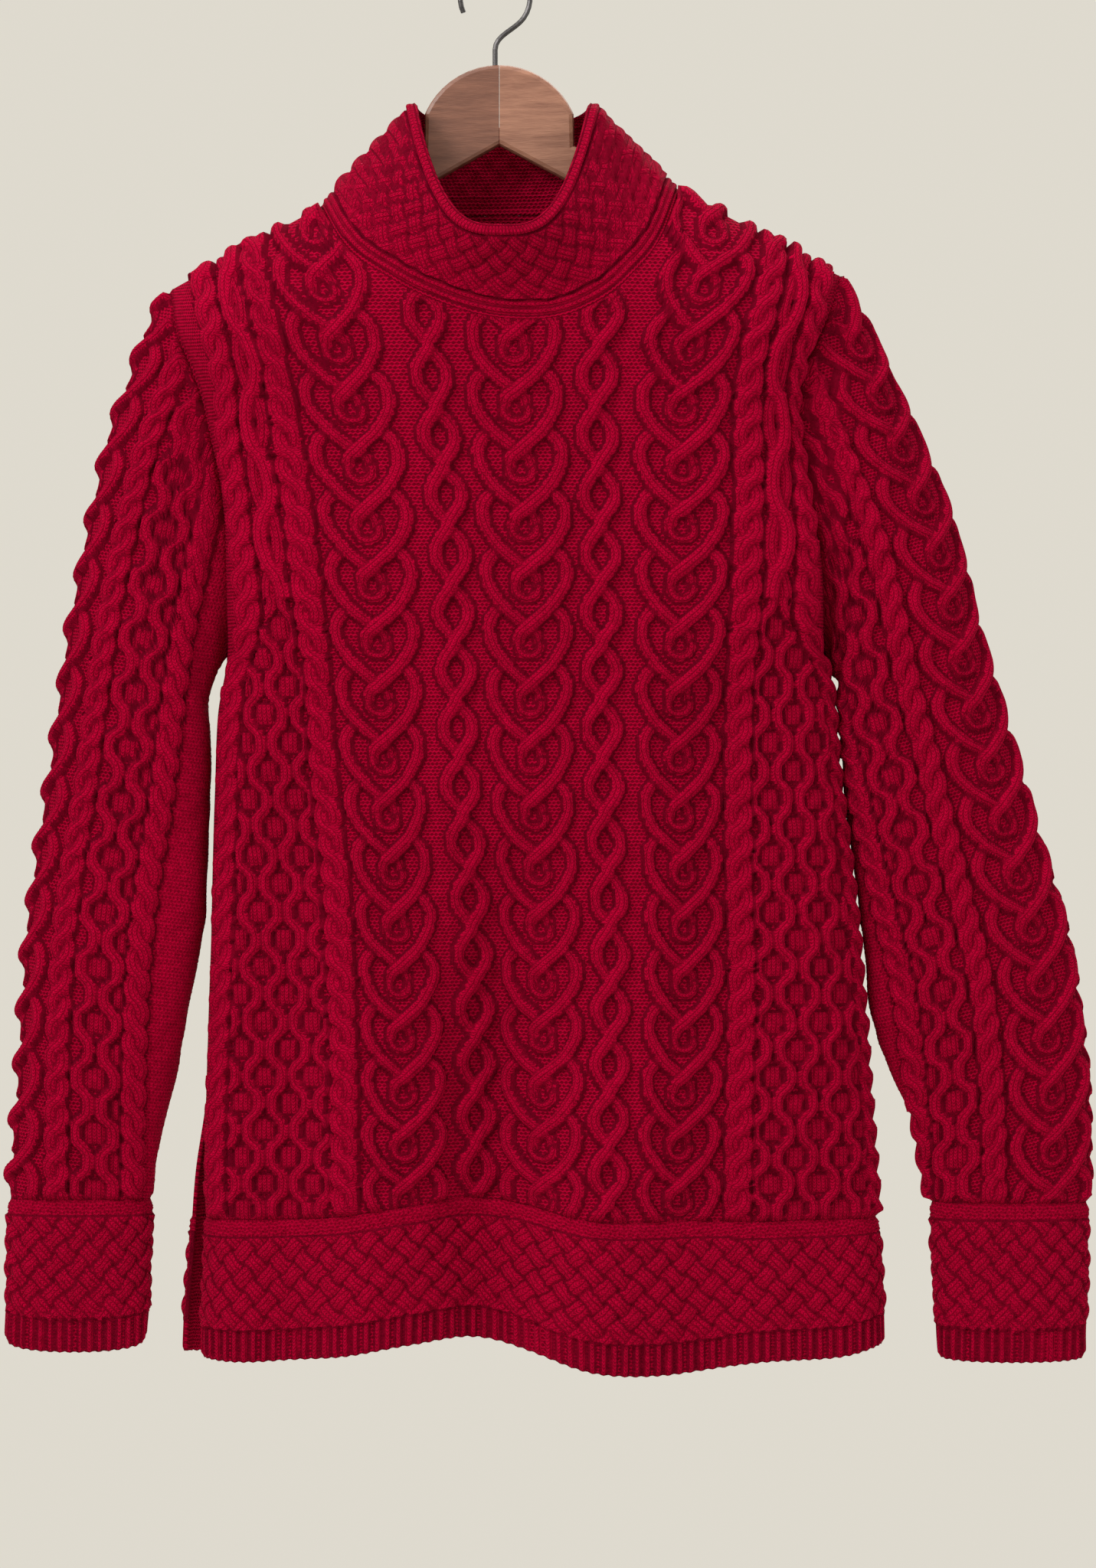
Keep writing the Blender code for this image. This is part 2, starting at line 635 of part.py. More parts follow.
def knitted_tube(name, points, normals, rise, height, material, cap=None, row_step=4, column_step=2):
    """Closed tube: raised outside, plain inside and a rim at both ends.

    cap is a finer first ring, such as an armhole: its points, directions and places round the tube,
    with the places of the tube's own columns.
    """
    bm = bmesh.new()
    form = points
    if cap is None:
        form = part_seams(points, closed=True)
    else:
        form = points.copy()
        form[-1] = part_seams(points, closed=True)[-1]
    outside = form + normals * (rise * height - PURL_GROUND)[..., None]
    inside = form - normals * PLAIN_INSIDE
    outer = add_grid(bm, np.concatenate((outside, outside[:, :1]), axis=1))
    split_along_crests(bm, outer, np.concatenate((rise, rise[:, :1]), axis=1))
    rows = np.round(np.linspace(0, len(points) - 1, max(4, len(points) // row_step))).astype(int)
    rows = rows[1:-1] if cap is None else rows[:-1]
    count = points.shape[1]
    columns = np.arange(0, count, column_step)
    last_ring = [(bm.verts.new(place), k / count) for k, place in enumerate(inside[-1])]
    zip_rings(bm, ring_of(outer[-1], count), last_ring, 1)
    inner = inside[rows][:, columns]
    lining = add_grid(bm, np.concatenate((inner, inner[:, :1]), axis=1))
    zip_rings(bm, last_ring, [(v, k / count) for k, v in zip(columns, lining[-1])], 1)
    if cap is None:
        first_ring = [(bm.verts.new(place), k / count) for k, place in enumerate(inside[0])]
        zip_rings(bm, ring_of(outer[0], count), first_ring, 1)
        zip_rings(bm, first_ring, [(v, k / count) for k, v in zip(columns, lining[0])], 1)
        return finish_object(name, bm, material)
    cap_outside = cap["points"] - cap["normals"] * PURL_GROUND
    cap_inside = cap["points"] - cap["normals"] * PLAIN_INSIDE
    cap_outer = [(bm.verts.new(p), at) for p, at in zip(cap_outside, cap["places"])]
    cap_inner = [(bm.verts.new(p), at) for p, at in zip(cap_inside, cap["places"])]
    zip_rings(bm, cap_outer, cap_inner, 1)
    zip_rings(bm, turned(list(zip(outer[0][:-1], cap["column_places"]))), cap_outer, 1)
    coarse = list(zip(lining[0][:-1], cap["column_places"][columns]))
    zip_rings(bm, turned(coarse), cap_inner, 1)
    return finish_object(name, bm, material)


def ring_of(vertices, count):
    """A closed grid row as (vertex, place)."""
    return [(vertices[k], k / count) for k in range(count)]


def turned(ring):
    """The ring started at its smallest place."""
    start = min(range(len(ring)), key=lambda k: ring[k][1])
    return ring[start:] + ring[:start]


def make_collar(body, material):
    """Funnel collar: rises from the neck seam and leans forward to its rim."""
    front, back = body["front"], body["back"]
    base_front = front["points"][-1, front["neck"]]
    base_back = back["points"][-1, back["neck"]][::-1][1:-1]
    base = np.concatenate((base_front, base_back))
    directions = np.concatenate((front["normals"][-1, front["neck"]],
                                 back["normals"][-1, back["neck"]][::-1][1:-1]))
    half = len(base_front)
    angle = np.concatenate((math.pi * (1 + arc_share(base_front)),
                            math.pi * arc_share(back["points"][-1, back["neck"]][::-1])[1:-1]))
    across, deep = np.cos(angle), np.abs(np.sin(angle))
    is_front = np.arange(len(base)) < half
    rim = np.stack((
        RIM_X + RIM_HALF_WIDTH * across,
        np.where(is_front, RIM_FRONT_Y * deep**0.85, RIM_BACK_Y * deep),
        np.where(is_front, RIM_FRONT_Z + (RIM_PEAK_Z - RIM_FRONT_Z) * np.abs(across) ** 1.9,
                 RIM_PEAK_Z + (RIM_BACK_Z - RIM_PEAK_Z) * deep),
    ), axis=-1)
    t = np.linspace(0, 1, COLLAR_ROWS + 1)[:, None, None]
    points = base + (rim - base) * t
    lean = smooth_step(t[..., 0]) - t[..., 0]
    points[..., 1] += (rim - base)[:, 1] * lean * np.where(is_front, 1, 0.5)
    normals = grid_normals(points, True, np.array((5 * MM, 0, -150 * MM)))
    normals[0] = directions
    rise = woven_relief(*points.shape[:2]) * seam_fade(points, True)
    rise[-2] = rise[-2] * 0.3
    knitted_tube("collar", points, normals, rise, WEAVE_RISE, material, row_step=3, column_step=1)


def sleeve_ring(row):
    """A dense ring of a sleeve from its outer end round the front, and its length."""
    outer_x, outer_z, inner_x, inner_z, front, back = row
    angle = np.linspace(0, 2 * math.pi, RING_STEPS + 1)
    across = np.sign(np.cos(angle)) * np.abs(np.cos(angle)) ** (2 / RING_POWER)
    deep = np.sign(np.sin(angle)) * np.abs(np.sin(angle)) ** (2 / RING_POWER)
    x = (outer_x + inner_x) / 2 + (outer_x - inner_x) / 2 * across
    z = (outer_z + inner_z) / 2 + (outer_z - inner_z) / 2 * across
    y = -np.where(deep > 0, front, back) * deep
    ring = np.stack((x, y, z), axis=-1)
    steps = np.linalg.norm(np.diff(ring, axis=0), axis=1)
    return ring, np.concatenate(([0], np.cumsum(steps)))


def sleeve_places(u, turn, girth):
    """Places round a ring, as shares of its length, of lane coordinates u."""
    a = np.abs(u)
    scale = min(1.0, girth / 2 / (SLEEVE_CABLES * SLEEVE_PLAIN_SHARE))
    rest = girth / 2 - SLEEVE_CABLES * scale
    beyond = np.clip(a - SLEEVE_CABLES, 0, None) / (SLEEVE_HALF_GIRTH - SLEEVE_CABLES)
    arc = np.minimum(a, SLEEVE_CABLES) * scale + beyond * rest
    return ((turn + np.sign(u) * arc) / girth) % 1


def sleeve_points(side, row, u):
    """Points of a sleeve ring at lane coordinates u, and their places round it."""
    ring, length = sleeve_ring(row)
    places = sleeve_places(u, SLEEVE_TURN[side], length[-1])
    points = np.stack([np.interp(places * length[-1], length, ring[:, k]) for k in range(3)], axis=-1)
    return points, places


def sleeve_row(side, share):
    """The sleeve table at a share of its length, 0 at the armhole and 1 at the cuff seam."""
    table = SLEEVES[side]
    middles = (table[:, 0:2] + table[:, 2:4]) / 2
    at = arc_share(middles)
    return np.array([curve_through(np.array(share), at, table[:, k]) for k in range(table.shape[1])])


def armhole_loop(side, body):
    """The armhole seam from the shoulder tip down the front and up the back."""
    column = 0 if side == "left" else -1
    rings = []
    for face in ("front", "back"):
        z = body[face]["z"][:, column]
        rows = [i for i in range(len(z)) if z[i] > ARMPIT_Z - 0.5 * MM][::-1]
        rings.append((body[face]["points"][rows, column], body[face]["normals"][rows, column]))
    (front, front_out), (back, back_out) = rings
    points = np.concatenate((front, back[::-1][1:-1]))
    directions = np.concatenate((front_out, back_out[::-1][1:-1]))
    closed = np.concatenate((points, points[:1]))
    return points, directions, arc_share(closed)[:-1]


def make_sleeve(side, body, material):
    """A sleeve from the armhole seam to the cuff seam, and its cuff."""
    table = SLEEVES[side]
    middles = (table[:, 0:2] + table[:, 2:4]) / 2
    length = np.sum(np.linalg.norm(np.diff(middles, axis=0), axis=1))
    u = np.concatenate((-SLEEVE_HALF_COLUMNS[:0:-1], SLEEVE_HALF_COLUMNS))[1:]
    rows = np.linspace(0, 1, round(length / SLEEVE_ROW) + 1)
    rings = [sleeve_points(side, sleeve_row(side, share), u) for share in rows]
    points = np.array([ring[0] for ring in rings])
    normals = grid_normals(points, True, points.mean(axis=1, keepdims=True))
    along = (rows * length)[:, None] + np.zeros(len(u))
    rise = sleeve_relief(np.broadcast_to(u, along.shape), along)
    rise[-1] = 0
    loop, directions, places = armhole_loop(side, body)
    away = unit(points[0].mean(axis=0) - loop.mean(axis=0))
    cap = {
        "points": loop + away * SEAM_HALF_GAP,
        "normals": directions,
        "places": places,
        "column_places": rings[0][1],
    }
    knitted_tube("sleeve_" + side, points, normals, rise, CABLE_RISE, material, cap=cap)
    make_cuff(side, u, points[-1], normals[-1], material)


def make_cuff(side, u, seam, directions, material):
    """Cuff band below the sleeve seam."""
    end = np.array(CUFF_END[side])
    start = SLEEVES[side][-1]
    shares = np.linspace(0, 1, CUFF_ROWS + 1)
    points = np.array([sleeve_points(side, start + (end - start) * share, u)[0] for share in shares])
    points[0] = seam
    normals = grid_normals(points, True, points.mean(axis=1, keepdims=True))
    normals[0] = directions
    rise = woven_relief(*points.shape[:2]) * seam_fade(points, True)
    knitted_tube("cuff_" + side, points, normals, rise, WEAVE_RISE, material)


def arm_top(x):
    """Height of the hanger's top edge: arms under the shoulders and a dome in the middle."""
    arms = shoulder_height(x) - ARM_DROP
    reach = np.clip(np.abs(x - DOME_X) / DOME_RADIUS, 0, 1)
    dome = DOME_TOP - DOME_RADIUS * (1 - np.sqrt(1 - reach**2))
    return np.where(np.abs(x - DOME_X) < DOME_HALF_WIDTH, np.maximum(arms, dome), arms)


def arm_bottom(x):
    """Height of the hanger's lower edge."""
    fall = np.where(x < JOINT_X, LEFT_FALL, RIGHT_FALL)
    straight = APEX_Z - np.abs(x - JOINT_X) * fall
    return np.maximum(straight, shoulder_height(x) - ARM_DROP - ARM_HEIGHT)


def make_arm(side, material):
    """Half of the hanger, cut from flat wood and rounded along its edges."""
    sign = -1 if side == "left" else 1
    start = JOINT_X + sign * JOINT_HALF_GAP
    end = ARM_ENDS[side]
    dome = DOME_X + sign * DOME_HALF_WIDTH * np.sin(np.linspace(0, math.pi / 2, 12))
    top_x = np.concatenate(([start], dome[1:-1], [dome[-1], dome[-1] + sign * 3 * MM],
                            np.linspace(dome[-1] + sign * 12 * MM, end, 6)))
    top = [(x, float(arm_top(np.array(x)))) for x in top_x]
    low_x = np.linspace(end, start, 8)
    low = [(x, float(arm_bottom(np.array(x)))) for x in low_x]
    middle_z = (top[-1][1] + low[0][1]) / 2
    half = (top[-1][1] - low[0][1]) / 2
    tip = [(end + sign * half * 0.45 * math.cos(a), middle_z + half * math.sin(a))
           for a in np.linspace(math.radians(60), math.radians(-60), 5)]
    bm = bmesh.new()
    outline = [bm.verts.new((x, -ARM_HALF_THICKNESS, z)) for x, z in top + tip + low]
    face = bm.faces.new(outline)
    made = bmesh.ops.extrude_face_region(bm, geom=[face])
    moved = [g for g in made["geom"] if isinstance(g, bmesh.types.BMVert)]
    bmesh.ops.translate(bm, verts=moved, vec=(0, 2 * ARM_HALF_THICKNESS, 0))
    bm.edges.ensure_lookup_table()
    rims = [e for e in bm.edges if abs(e.verts[0].co.y - e.verts[1].co.y) < 1e-9
            and not all(abs(v.co.x - start) < 1e-7 for v in e.verts)]
    bmesh.ops.bevel(bm, geom=rims, offset=ARM_ROUND, offset_type="OFFSET", segments=2, profile=0.5,
                    affect="EDGES", material=-1, clamp_overlap=True)
    return finish_object("hanger_" + side, bm, material)


def drill_for_stem(arm):
    """Cuts the hole that the hook's stem stands in."""
    bm = bmesh.new()
    depth = STEM_DEPTH + HOLE_CLEARANCE
    bmesh.ops.create_cone(bm, cap_ends=True, segments=20, radius1=WIRE_RADIUS + HOLE_CLEARANCE,
                          radius2=WIRE_RADIUS + HOLE_CLEARANCE, depth=depth + 10 * MM)
    bmesh.ops.translate(bm, verts=bm.verts, vec=(0, 0, DOME_TOP + 5 * MM - depth / 2))
    mesh = bpy.data.meshes.new("stem_hole")
    bm.to_mesh(mesh)
    bm.free()
    cutter = bpy.data.objects.new("stem_hole", mesh)
    cutter.hide_render = True
    cutter.display_type = "WIRE"
    bpy.data.collections["cutters"].objects.link(cutter)
    cut = arm.modifiers.new("stem hole", "BOOLEAN")
    cut.operation = "DIFFERENCE"
    cut.solver = "EXACT"
    cut.object = cutter


def make_hook(material):
    """Wire hook: an open loop over the rail, a swan neck and a stem in the wood."""
    radius = HOOK_INNER_RADIUS + WIRE_RADIUS
    centre_z = -HOOK_INNER_RADIUS
    loop = [(radius * math.cos(a), centre_z + radius * math.sin(a))
            for a in np.linspace(math.radians(205), math.radians(-35), 25)]
    start = np.array(loop[-1])
    leave = np.array((math.sin(math.radians(-35)), -math.cos(math.radians(-35))))
    end = np.array((0, -52 * MM))
    hold = 9 * MM
    bend = []
    for t in np.linspace(0, 1, 9)[1:]:
        bend.append((1 - t) ** 3 * start + 3 * (1 - t) ** 2 * t * (start + leave * hold)
                    + 3 * (1 - t) * t**2 * (end + np.array((0, hold))) + t**3 * end)
    path = loop + [tuple(p) for p in bend] + [(0, DOME_TOP - STEM_DEPTH)]
    curve = bpy.data.curves.new("hook", "CURVE")
    curve.dimensions = "3D"
    curve.bevel_depth = WIRE_RADIUS
    curve.bevel_resolution = 2
    curve.use_fill_caps = True
    spline = curve.splines.new("POLY")
    spline.points.add(len(path) - 1)
    for point, (x, z) in zip(spline.points, path):
        point.co = (x, 0, z, 1)
    curve.materials.append(material)
    hook = bpy.data.objects.new("hook", curve)
    bpy.data.collections["sweater_on_hanger"].objects.link(hook)


def make_material(name, color, roughness, metallic):
    """A Principled material in the part's own colour."""
    material = bpy.data.materials.new(name)
    material.use_nodes = True
    shader = material.node_tree.nodes["Principled BSDF"]
    shader.inputs["Base Color"].default_value = (*color, 1)
    shader.inputs["Roughness"].default_value = roughness
    shader.inputs["Metallic"].default_value = metallic
    return material


def main():
    for obj in list(bpy.data.objects):
        bpy.data.objects.remove(obj)
    for name in ("sweater_on_hanger", "cutters"):
        bpy.context.scene.collection.children.link(bpy.data.collections.new(name))
    wool = make_material("red wool", (0.42, 0.005, 0.03), 0.9, 0)
    wood = make_material("stained wood", (0.24, 0.10, 0.06), 0.45, 0)
    steel = make_material("dark steel", (0.05, 0.05, 0.055), 0.35, 1)
    body = make_body(wool)
    for face in ("front", "back"):
        make_hem(face, body[face], wool)
    make_collar(body, wool)
    for side in ("left", "right"):
        make_sleeve(side, body, wool)
    drill_for_stem(make_arm("left", wood))
    make_arm("right", wood)
    make_hook(steel)


main()
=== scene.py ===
"""Cable-knit sweater on its wooden hanger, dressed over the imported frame.

Every knitted piece is a thin closed wall on the garment's form. Cables, weaves and ribs stand out of its
outer grid, and each corner carries its place among the stitches, from which the wool draws them.
"""

import math

import bmesh
import bpy
import numpy as np
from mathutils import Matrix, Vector


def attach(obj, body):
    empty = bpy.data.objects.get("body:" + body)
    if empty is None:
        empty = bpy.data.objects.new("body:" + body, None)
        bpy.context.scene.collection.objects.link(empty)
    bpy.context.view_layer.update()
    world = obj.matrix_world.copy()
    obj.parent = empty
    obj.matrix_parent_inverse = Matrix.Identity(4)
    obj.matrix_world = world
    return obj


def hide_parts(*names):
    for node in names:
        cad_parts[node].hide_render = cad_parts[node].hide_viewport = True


MM = 0.001

# Camera, from the photograph's scale of 0.47 mm a pixel a little before the hanger's plane
CAMERA_DISTANCE = 3.0
SCALE_PLANE_Y = -25 * MM
CAMERA_X = 0.0327
CAMERA_Z = -0.5066
FRAME_WIDTH = 0.6726

# Knitted wall, measured from the form surface that every piece shares
PLAIN_INSIDE = 3.9 * MM
PURL_GROUND = 1.4 * MM
SEAM_HALF_GAP = 0.03 * MM

# Cable repeat, shorter towards the hem
HEM_SEAM_Z = -774 * MM
HEM_REPEAT = 32.4 * MM
NECK_REPEAT = 36.9 * MM
REPEAT_SPAN = 550.4 * MM
CROSSING_OFFSET = 0.294
SLEEVE_REPEAT = 34 * MM

# Heights that divide the body
ARMPIT_Z = -430 * MM
VENT_Z = -699 * MM
YOKE_ROWS_FROM = -270 * MM
YOKE_ROWS = 56
YOKE_CROWDING = 0.6
HEM_ROWS_FROM = -700 * MM
HEM_ROWS = 70
CUFF_ROWS = 60
BODY_ROW = 1.72 * MM

# Shoulders fall away from the neck on both sides
NECK_LEFT = (-108.6 * MM, -148 * MM)
NECK_RIGHT = (115 * MM, -138.5 * MM)
LEFT_FALL = 0.558
RIGHT_FALL = 0.531
SHOULDER_ROUND = {"front": 85 * MM, "back": 70 * MM}
SECTION_POWER = 2.6
SECTION_ASPECT = 0.27

# Body sections from the hem up, in mm. left and right are the front's side edges, or its armhole edges
# above the armpit. The edge columns are how far those edges stand from the middle plane, and the back's
# own edges differ at the vents.
BODY_COLUMNS = ("z", "left", "right", "centre", "front", "back", "front_edge", "back_edge",
                "back_left", "back_right")
BODY = np.array([
    (-880, -181, 240, 26, 55, 38, 9, 7, -195, 236),
    (-843, -181, 240, 26, 56, 38, 8, 6, -194, 236),
    (-795, -179, 238, 26, 56, 38, 6, 5, -190.5, 234),
    (-747, -181, 234, 26, 56, 38, 3, 3, -187, 232),
    (-699, -180, 230.5, 26, 56, 38, 0, 0, -180, 230.5),
    (-646, -178.5, 227, 25, 55, 38, 0, 0, -178.5, 227),
    (-603, -177, 223.5, 23, 55, 38, 0, 0, -177, 223.5),
    (-555, -176, 218.5, 20, 55, 38, 0, 0, -176, 218.5),
    (-507, -174.5, 212.5, 17, 56, 38, 0, 0, -174.5, 212.5),
    (-458, -172, 208, 15.5, 56, 38, 0, 0, -172, 208),
    (-430, -167, 205, 15, 57, 38, 0, 0, -167, 205),
    (-400, -166, 203.5, 14.5, 57, 37, 13, 11, -166, 203.5),
    (-373, -166, 202, 14, 57, 37, 19, 15, -166, 202),
    (-346, -166.5, 197, 13.5, 57, 36, 22, 17, -166.5, 197),
    (-320, -169.5, 190.5, 13, 57, 36, 23, 18, -169.5, 190.5),
    (-293, -175, 186, 12.5, 57, 35, 24, 19, -175, 186),
    (-267, -181, 185, 12, 58, 33, 24, 19, -181, 185),
    (-250, -187, 190, 11.7, 58, 32, 24, 19, -187, 190),
    (-226, -197, 202, 11.7, 59, 31, 23, 21, -197, 202),
    (-191, -201, 213.8, 11.7, 58, 29, 22, 21, -201, 213.8),
    (-138, -201, 213.8, 11.7, 52, 27, 22, 21, -201, 213.8),
]) * MM

# Points inside the body, its hems and the collar, for telling inwards from outwards
BODY_MIDDLE = np.array((15, 0, -500)) * MM
HEM_MIDDLE = np.array((15, 0, -800)) * MM
COLLAR_MIDDLE = np.array((5, 0, -150)) * MM

# How outward directions lean at the armholes, the neck seam and the shoulder seams
ARMHOLE_LEAN = 0.57
NECK_LEAN = (0.6, 0.8)
SHOULDER_LEAN = (0.5, 0.87)

# Stitches: a column's and a row's width in a knit strand, and a purl bump's
WALE = 2.9 * MM
ROW = 2.15 * MM
PURL_WIDTH = 2.5 * MM
STRAND_RISE = 4.6 * MM
CROSSING_RISE = 1.6 * MM
DOME_POWERS = (2.6, 0.55)
SEAM_FADE = 4 * MM
BULGE_FADE = 20 * MM
JUST_OVER = 0.01 * MM
MOSS_BUMP = 0.5
MOSS_KNIT = 0.4
WEAVE_SWING = 0.4
WEAVE_HALF_STRAND = 0.47
RIB_POWER = 0.8
RIB_FOOT = 0.3
# Crest value given to the plain inside, which sets how light the wool's painted shade colours the lining.
INSIDE_PAINTED_LIGHT = 1.1
COLLAR_LINING_SHARE = 0.45
UNEVEN_RISE = 0.8 * MM
UNEVEN_SWAY = 0.6 * MM

# Heart cable: one arm from below its crossing to where it dives under the next heart, as x and y from the
# crossing, and how far it stands over the ground at its edge when it is the upper and the lower one, in mm
HEART_ARM = np.array([
    (-6.4, -10, -2.6, -3.2),
    (-5.2, -4.5, -0.4, -2.6),
    (0, 0, 1.3, -1.9),
    (5.5, 4.8, 1.0, -0.6),
    (11, 9.5, 0.6, 0.3),
    (18.3, 19, 0.3, 0.3),
    (23, 28.5, 0.2, 0.2),
    (23.9, 36.5, 0.1, 0.1),
    (21.5, 43, -0.4, -0.4),
    (17.5, 47.5, -1.8, -1.8),
    (14, 50.5, -4.0, -4.0),
]) * MM
HEART_RING = np.array([
    (-5.6, -6, -2.0),
    (-7.0, -11, -1.4),
    (-5.0, -16.5, -1.5),
    (0.5, -18.6, -1.7),
    (5.6, -16.5, -1.7),
    (7.2, -11.5, -1.9),
    (5.4, -7, -2.4),
]) * MM
HEART_REPEAT = 36.7 * MM
HEART_STRAND = (4.5 * MM, STRAND_RISE)
HEART_RING_STRAND = (3.5 * MM, 3.7 * MM)

# Pairs of strands that cross: how far each swings out, its half width, and the power that shapes its swing
CHAIN = (9.1 * MM, 4.6 * MM, 1.3)
ROPE = (4.5 * MM, 4.9 * MM, 0.75)
SIDE_ROPE = (4.6 * MM, 5.0 * MM, 0.75)
YOKE_ROPE = (4.7 * MM, 4.7 * MM, 0.65)
SLEEVE_ROPE = (4.2 * MM, 4.6 * MM, 0.8)

# Staggered cells: shares of their pitch, and how flat their strands run beside each other
CELL_STRAND_SHARE = 0.262
CELL_SWAY = 0.245
CELL_PLATEAU = 1.35
CELL_STRAND_LENGTH = 36 * MM
CELL_START = 3.4 * MM
CELL_COUNT = 6
HOLLOW_SHARE = 0.4
HOLLOW_SHARPNESS = 1.4
HOLLOW_RISE = 2.2 * MM

# Cable lanes from the panel's middle outwards, in mm, and the share of the half panel they end at
LANE_ENDS = np.array([0, 28, 56, 114, 132, 186, 204, 210]) * MM
LANE_SHARES_Z = np.array([-600, -450, -330]) * MM
LANE_SHARES = np.array([
    (0, 0.133, 0.267, 0.543, 0.629, 0.886, 0.971, 1),
    (0, 0.142, 0.284, 0.578, 0.670, 0.890, 0.972, 1),
    (0, 0.163, 0.326, 0.663, 0.767, 0.950, 0.985, 1),
])
PANEL_EDGE = LANE_ENDS[-1]

# Where the cables of the body run, in mm of cloth, against the height: how far the middle column stands
# right of the form's middle, how far the side hearts stand from it, how wide the hearts are, and the cells
CABLES_Z = np.array([-780, -715, -660, -560, -430, -380, -330, -280, -240, -216, -180]) * MM
CABLE_MIDDLE = np.array([3, 3, 4, 6, 6, 5.5, 4, 1, 0, 0, 0]) * MM
SIDE_HEARTS = np.array([83, 84, 86, 88.5, 92, 94.5, 97, 101, 108, 114, 122]) * MM
HEART_SCALE = np.array([0.93, 0.92, 0.90, 0.88, 0.98, 1.03, 1.07, 1.07, 1.05, 1.05, 1.05])
CELL_PITCH = np.array([15.4, 15.4, 15.2, 15.2, 15.0, 13.0, 11.0, 10.5, 10.5, 10.5, 10.5]) * MM
BODY_REPEAT = 34 * MM
HEART_HALF_WIDTH = 29.5 * MM
CHAIN_SHARE = 0.48
CHAIN_START = 0.25
ROPE_WIDTH = 18 * MM
SIDE_ROPE_WIDTH = 19 * MM
SIDE_ROPE_Z = np.array([-460, -400]) * MM
SIDE_ROPE_PLACE = {-1: np.array([27, 20]) * MM, 1: np.array([13, 20]) * MM}

# The yoke: where its cells give way to one more rope, the side ropes close up and all ropes are wider
YOKE_ROPES_TURN = 11.5
YOKE_ROPE_WIDTH = 17.5 * MM
YOKE_CLOSES_Z = (-445 * MM, -395 * MM)
YOKE_NARROWS_Z = (-310 * MM, -250 * MM)
YOKE_STRETCH = 0.14

# Neckline and hem lines against x, in mm
FRONT_NECK = np.array([(-108.6, -148), (-96.6, -170), (-63, -198.7), (-34, -213), (9.3, -223.7),
                       (52.6, -218), (81.5, -198.7), (105.6, -165), (115, -138.5)]) * MM
BACK_NECK = np.array([(-108.6, -148), (-60, -151), (0, -152), (60, -149), (115, -138.5)]) * MM
HEM_SEAM = np.array([(-200, -774), (-110, -772), (-50, -764), (-15, -760), (15, -763), (55, -771),
                     (120, -773), (250, -773)]) * MM
HEM_EDGE = np.array([(-200, -856), (-164, -860), (-100, -856), (-50, -848), (-15, -845), (20, -852),
                     (60, -863), (100, -866), (160, -859), (215, -856), (250, -846)]) * MM

# Folds pushed into the body: x at the top and bottom, z from and to, half width, depth, in mm.
# A depth below 0 stands out.
FOLDS = {
    "front": (
        (2, -4, -500, -700, 34, 30),
        (38, 58, -640, -800, 40, -16),
        (-112, -128, -360, -560, 26, 15),
        (-70, -75, -560, -760, 34, -5),
        (150, 128, -420, -470, 26, 8),
        (196, 196, -600, -820, 24, 7),
        (-60, -58, -330, -470, 20, 3),
    ),
    "back": (
        (-60, -78, -480, -760, 38, 9),
        (78, 96, -420, -740, 40, 10),
        (10, 14, -560, -800, 34, -6),
    ),
}

# Collar rim
RIM_X = 4.5 * MM
RIM_HALF_WIDTH = 55.5 * MM
RIM_FRONT_Y = -90 * MM
RIM_BACK_Y = 30 * MM
RIM_FRONT_Z = -171 * MM
RIM_PEAK_Z = -84 * MM
RIM_BACK_Z = -97 * MM
RIM_ROUND = 0.85
RIM_SWEEP = 3.1

# Collar from the seam up: two lines of stitches, woven cables, and a bead along the rim
COLLAR_ROWS = 66
COLLAR_HOLLOW = 6 * MM
COLLAR_BASE = 12 * MM
COLLAR_LINES = (4.6 * MM, 9.0 * MM)
COLLAR_LINE_STRAND = (2.2 * MM, 1.6 * MM)
COLLAR_BLOCK = 15.2 * MM
COLLAR_WEAVE = (COLLAR_BLOCK / 2, 8.0 * MM, 3.2 * MM)
BEAD_ZONE = 7 * MM
BEAD_PLACE = 3.4 * MM
BEAD_STRAND = (3.2 * MM, 3.0 * MM)

# Hem and cuff bands from the seam down: moss, woven cables (width, height and rise), and ribs
BAND_MOSS = 10 * MM
BAND_MOSS_RISE = 1.7 * MM
BAND_WEAVE = (7.5 * MM, 8.2 * MM, 3.6 * MM)
HEM_RIBS = 19 * MM
CUFF_RIBS = 20 * MM
RIB_PITCH = 6.1 * MM
RIB_RISE = 2.2 * MM
RIB_EDGE = 0.9 * MM
HEM_CLOTH_SHARE = 1.03
CUFF_DIP = {"left": 6 * MM, "right": 2.5 * MM}
CUFF_HALF_DEPTH = 18 * MM

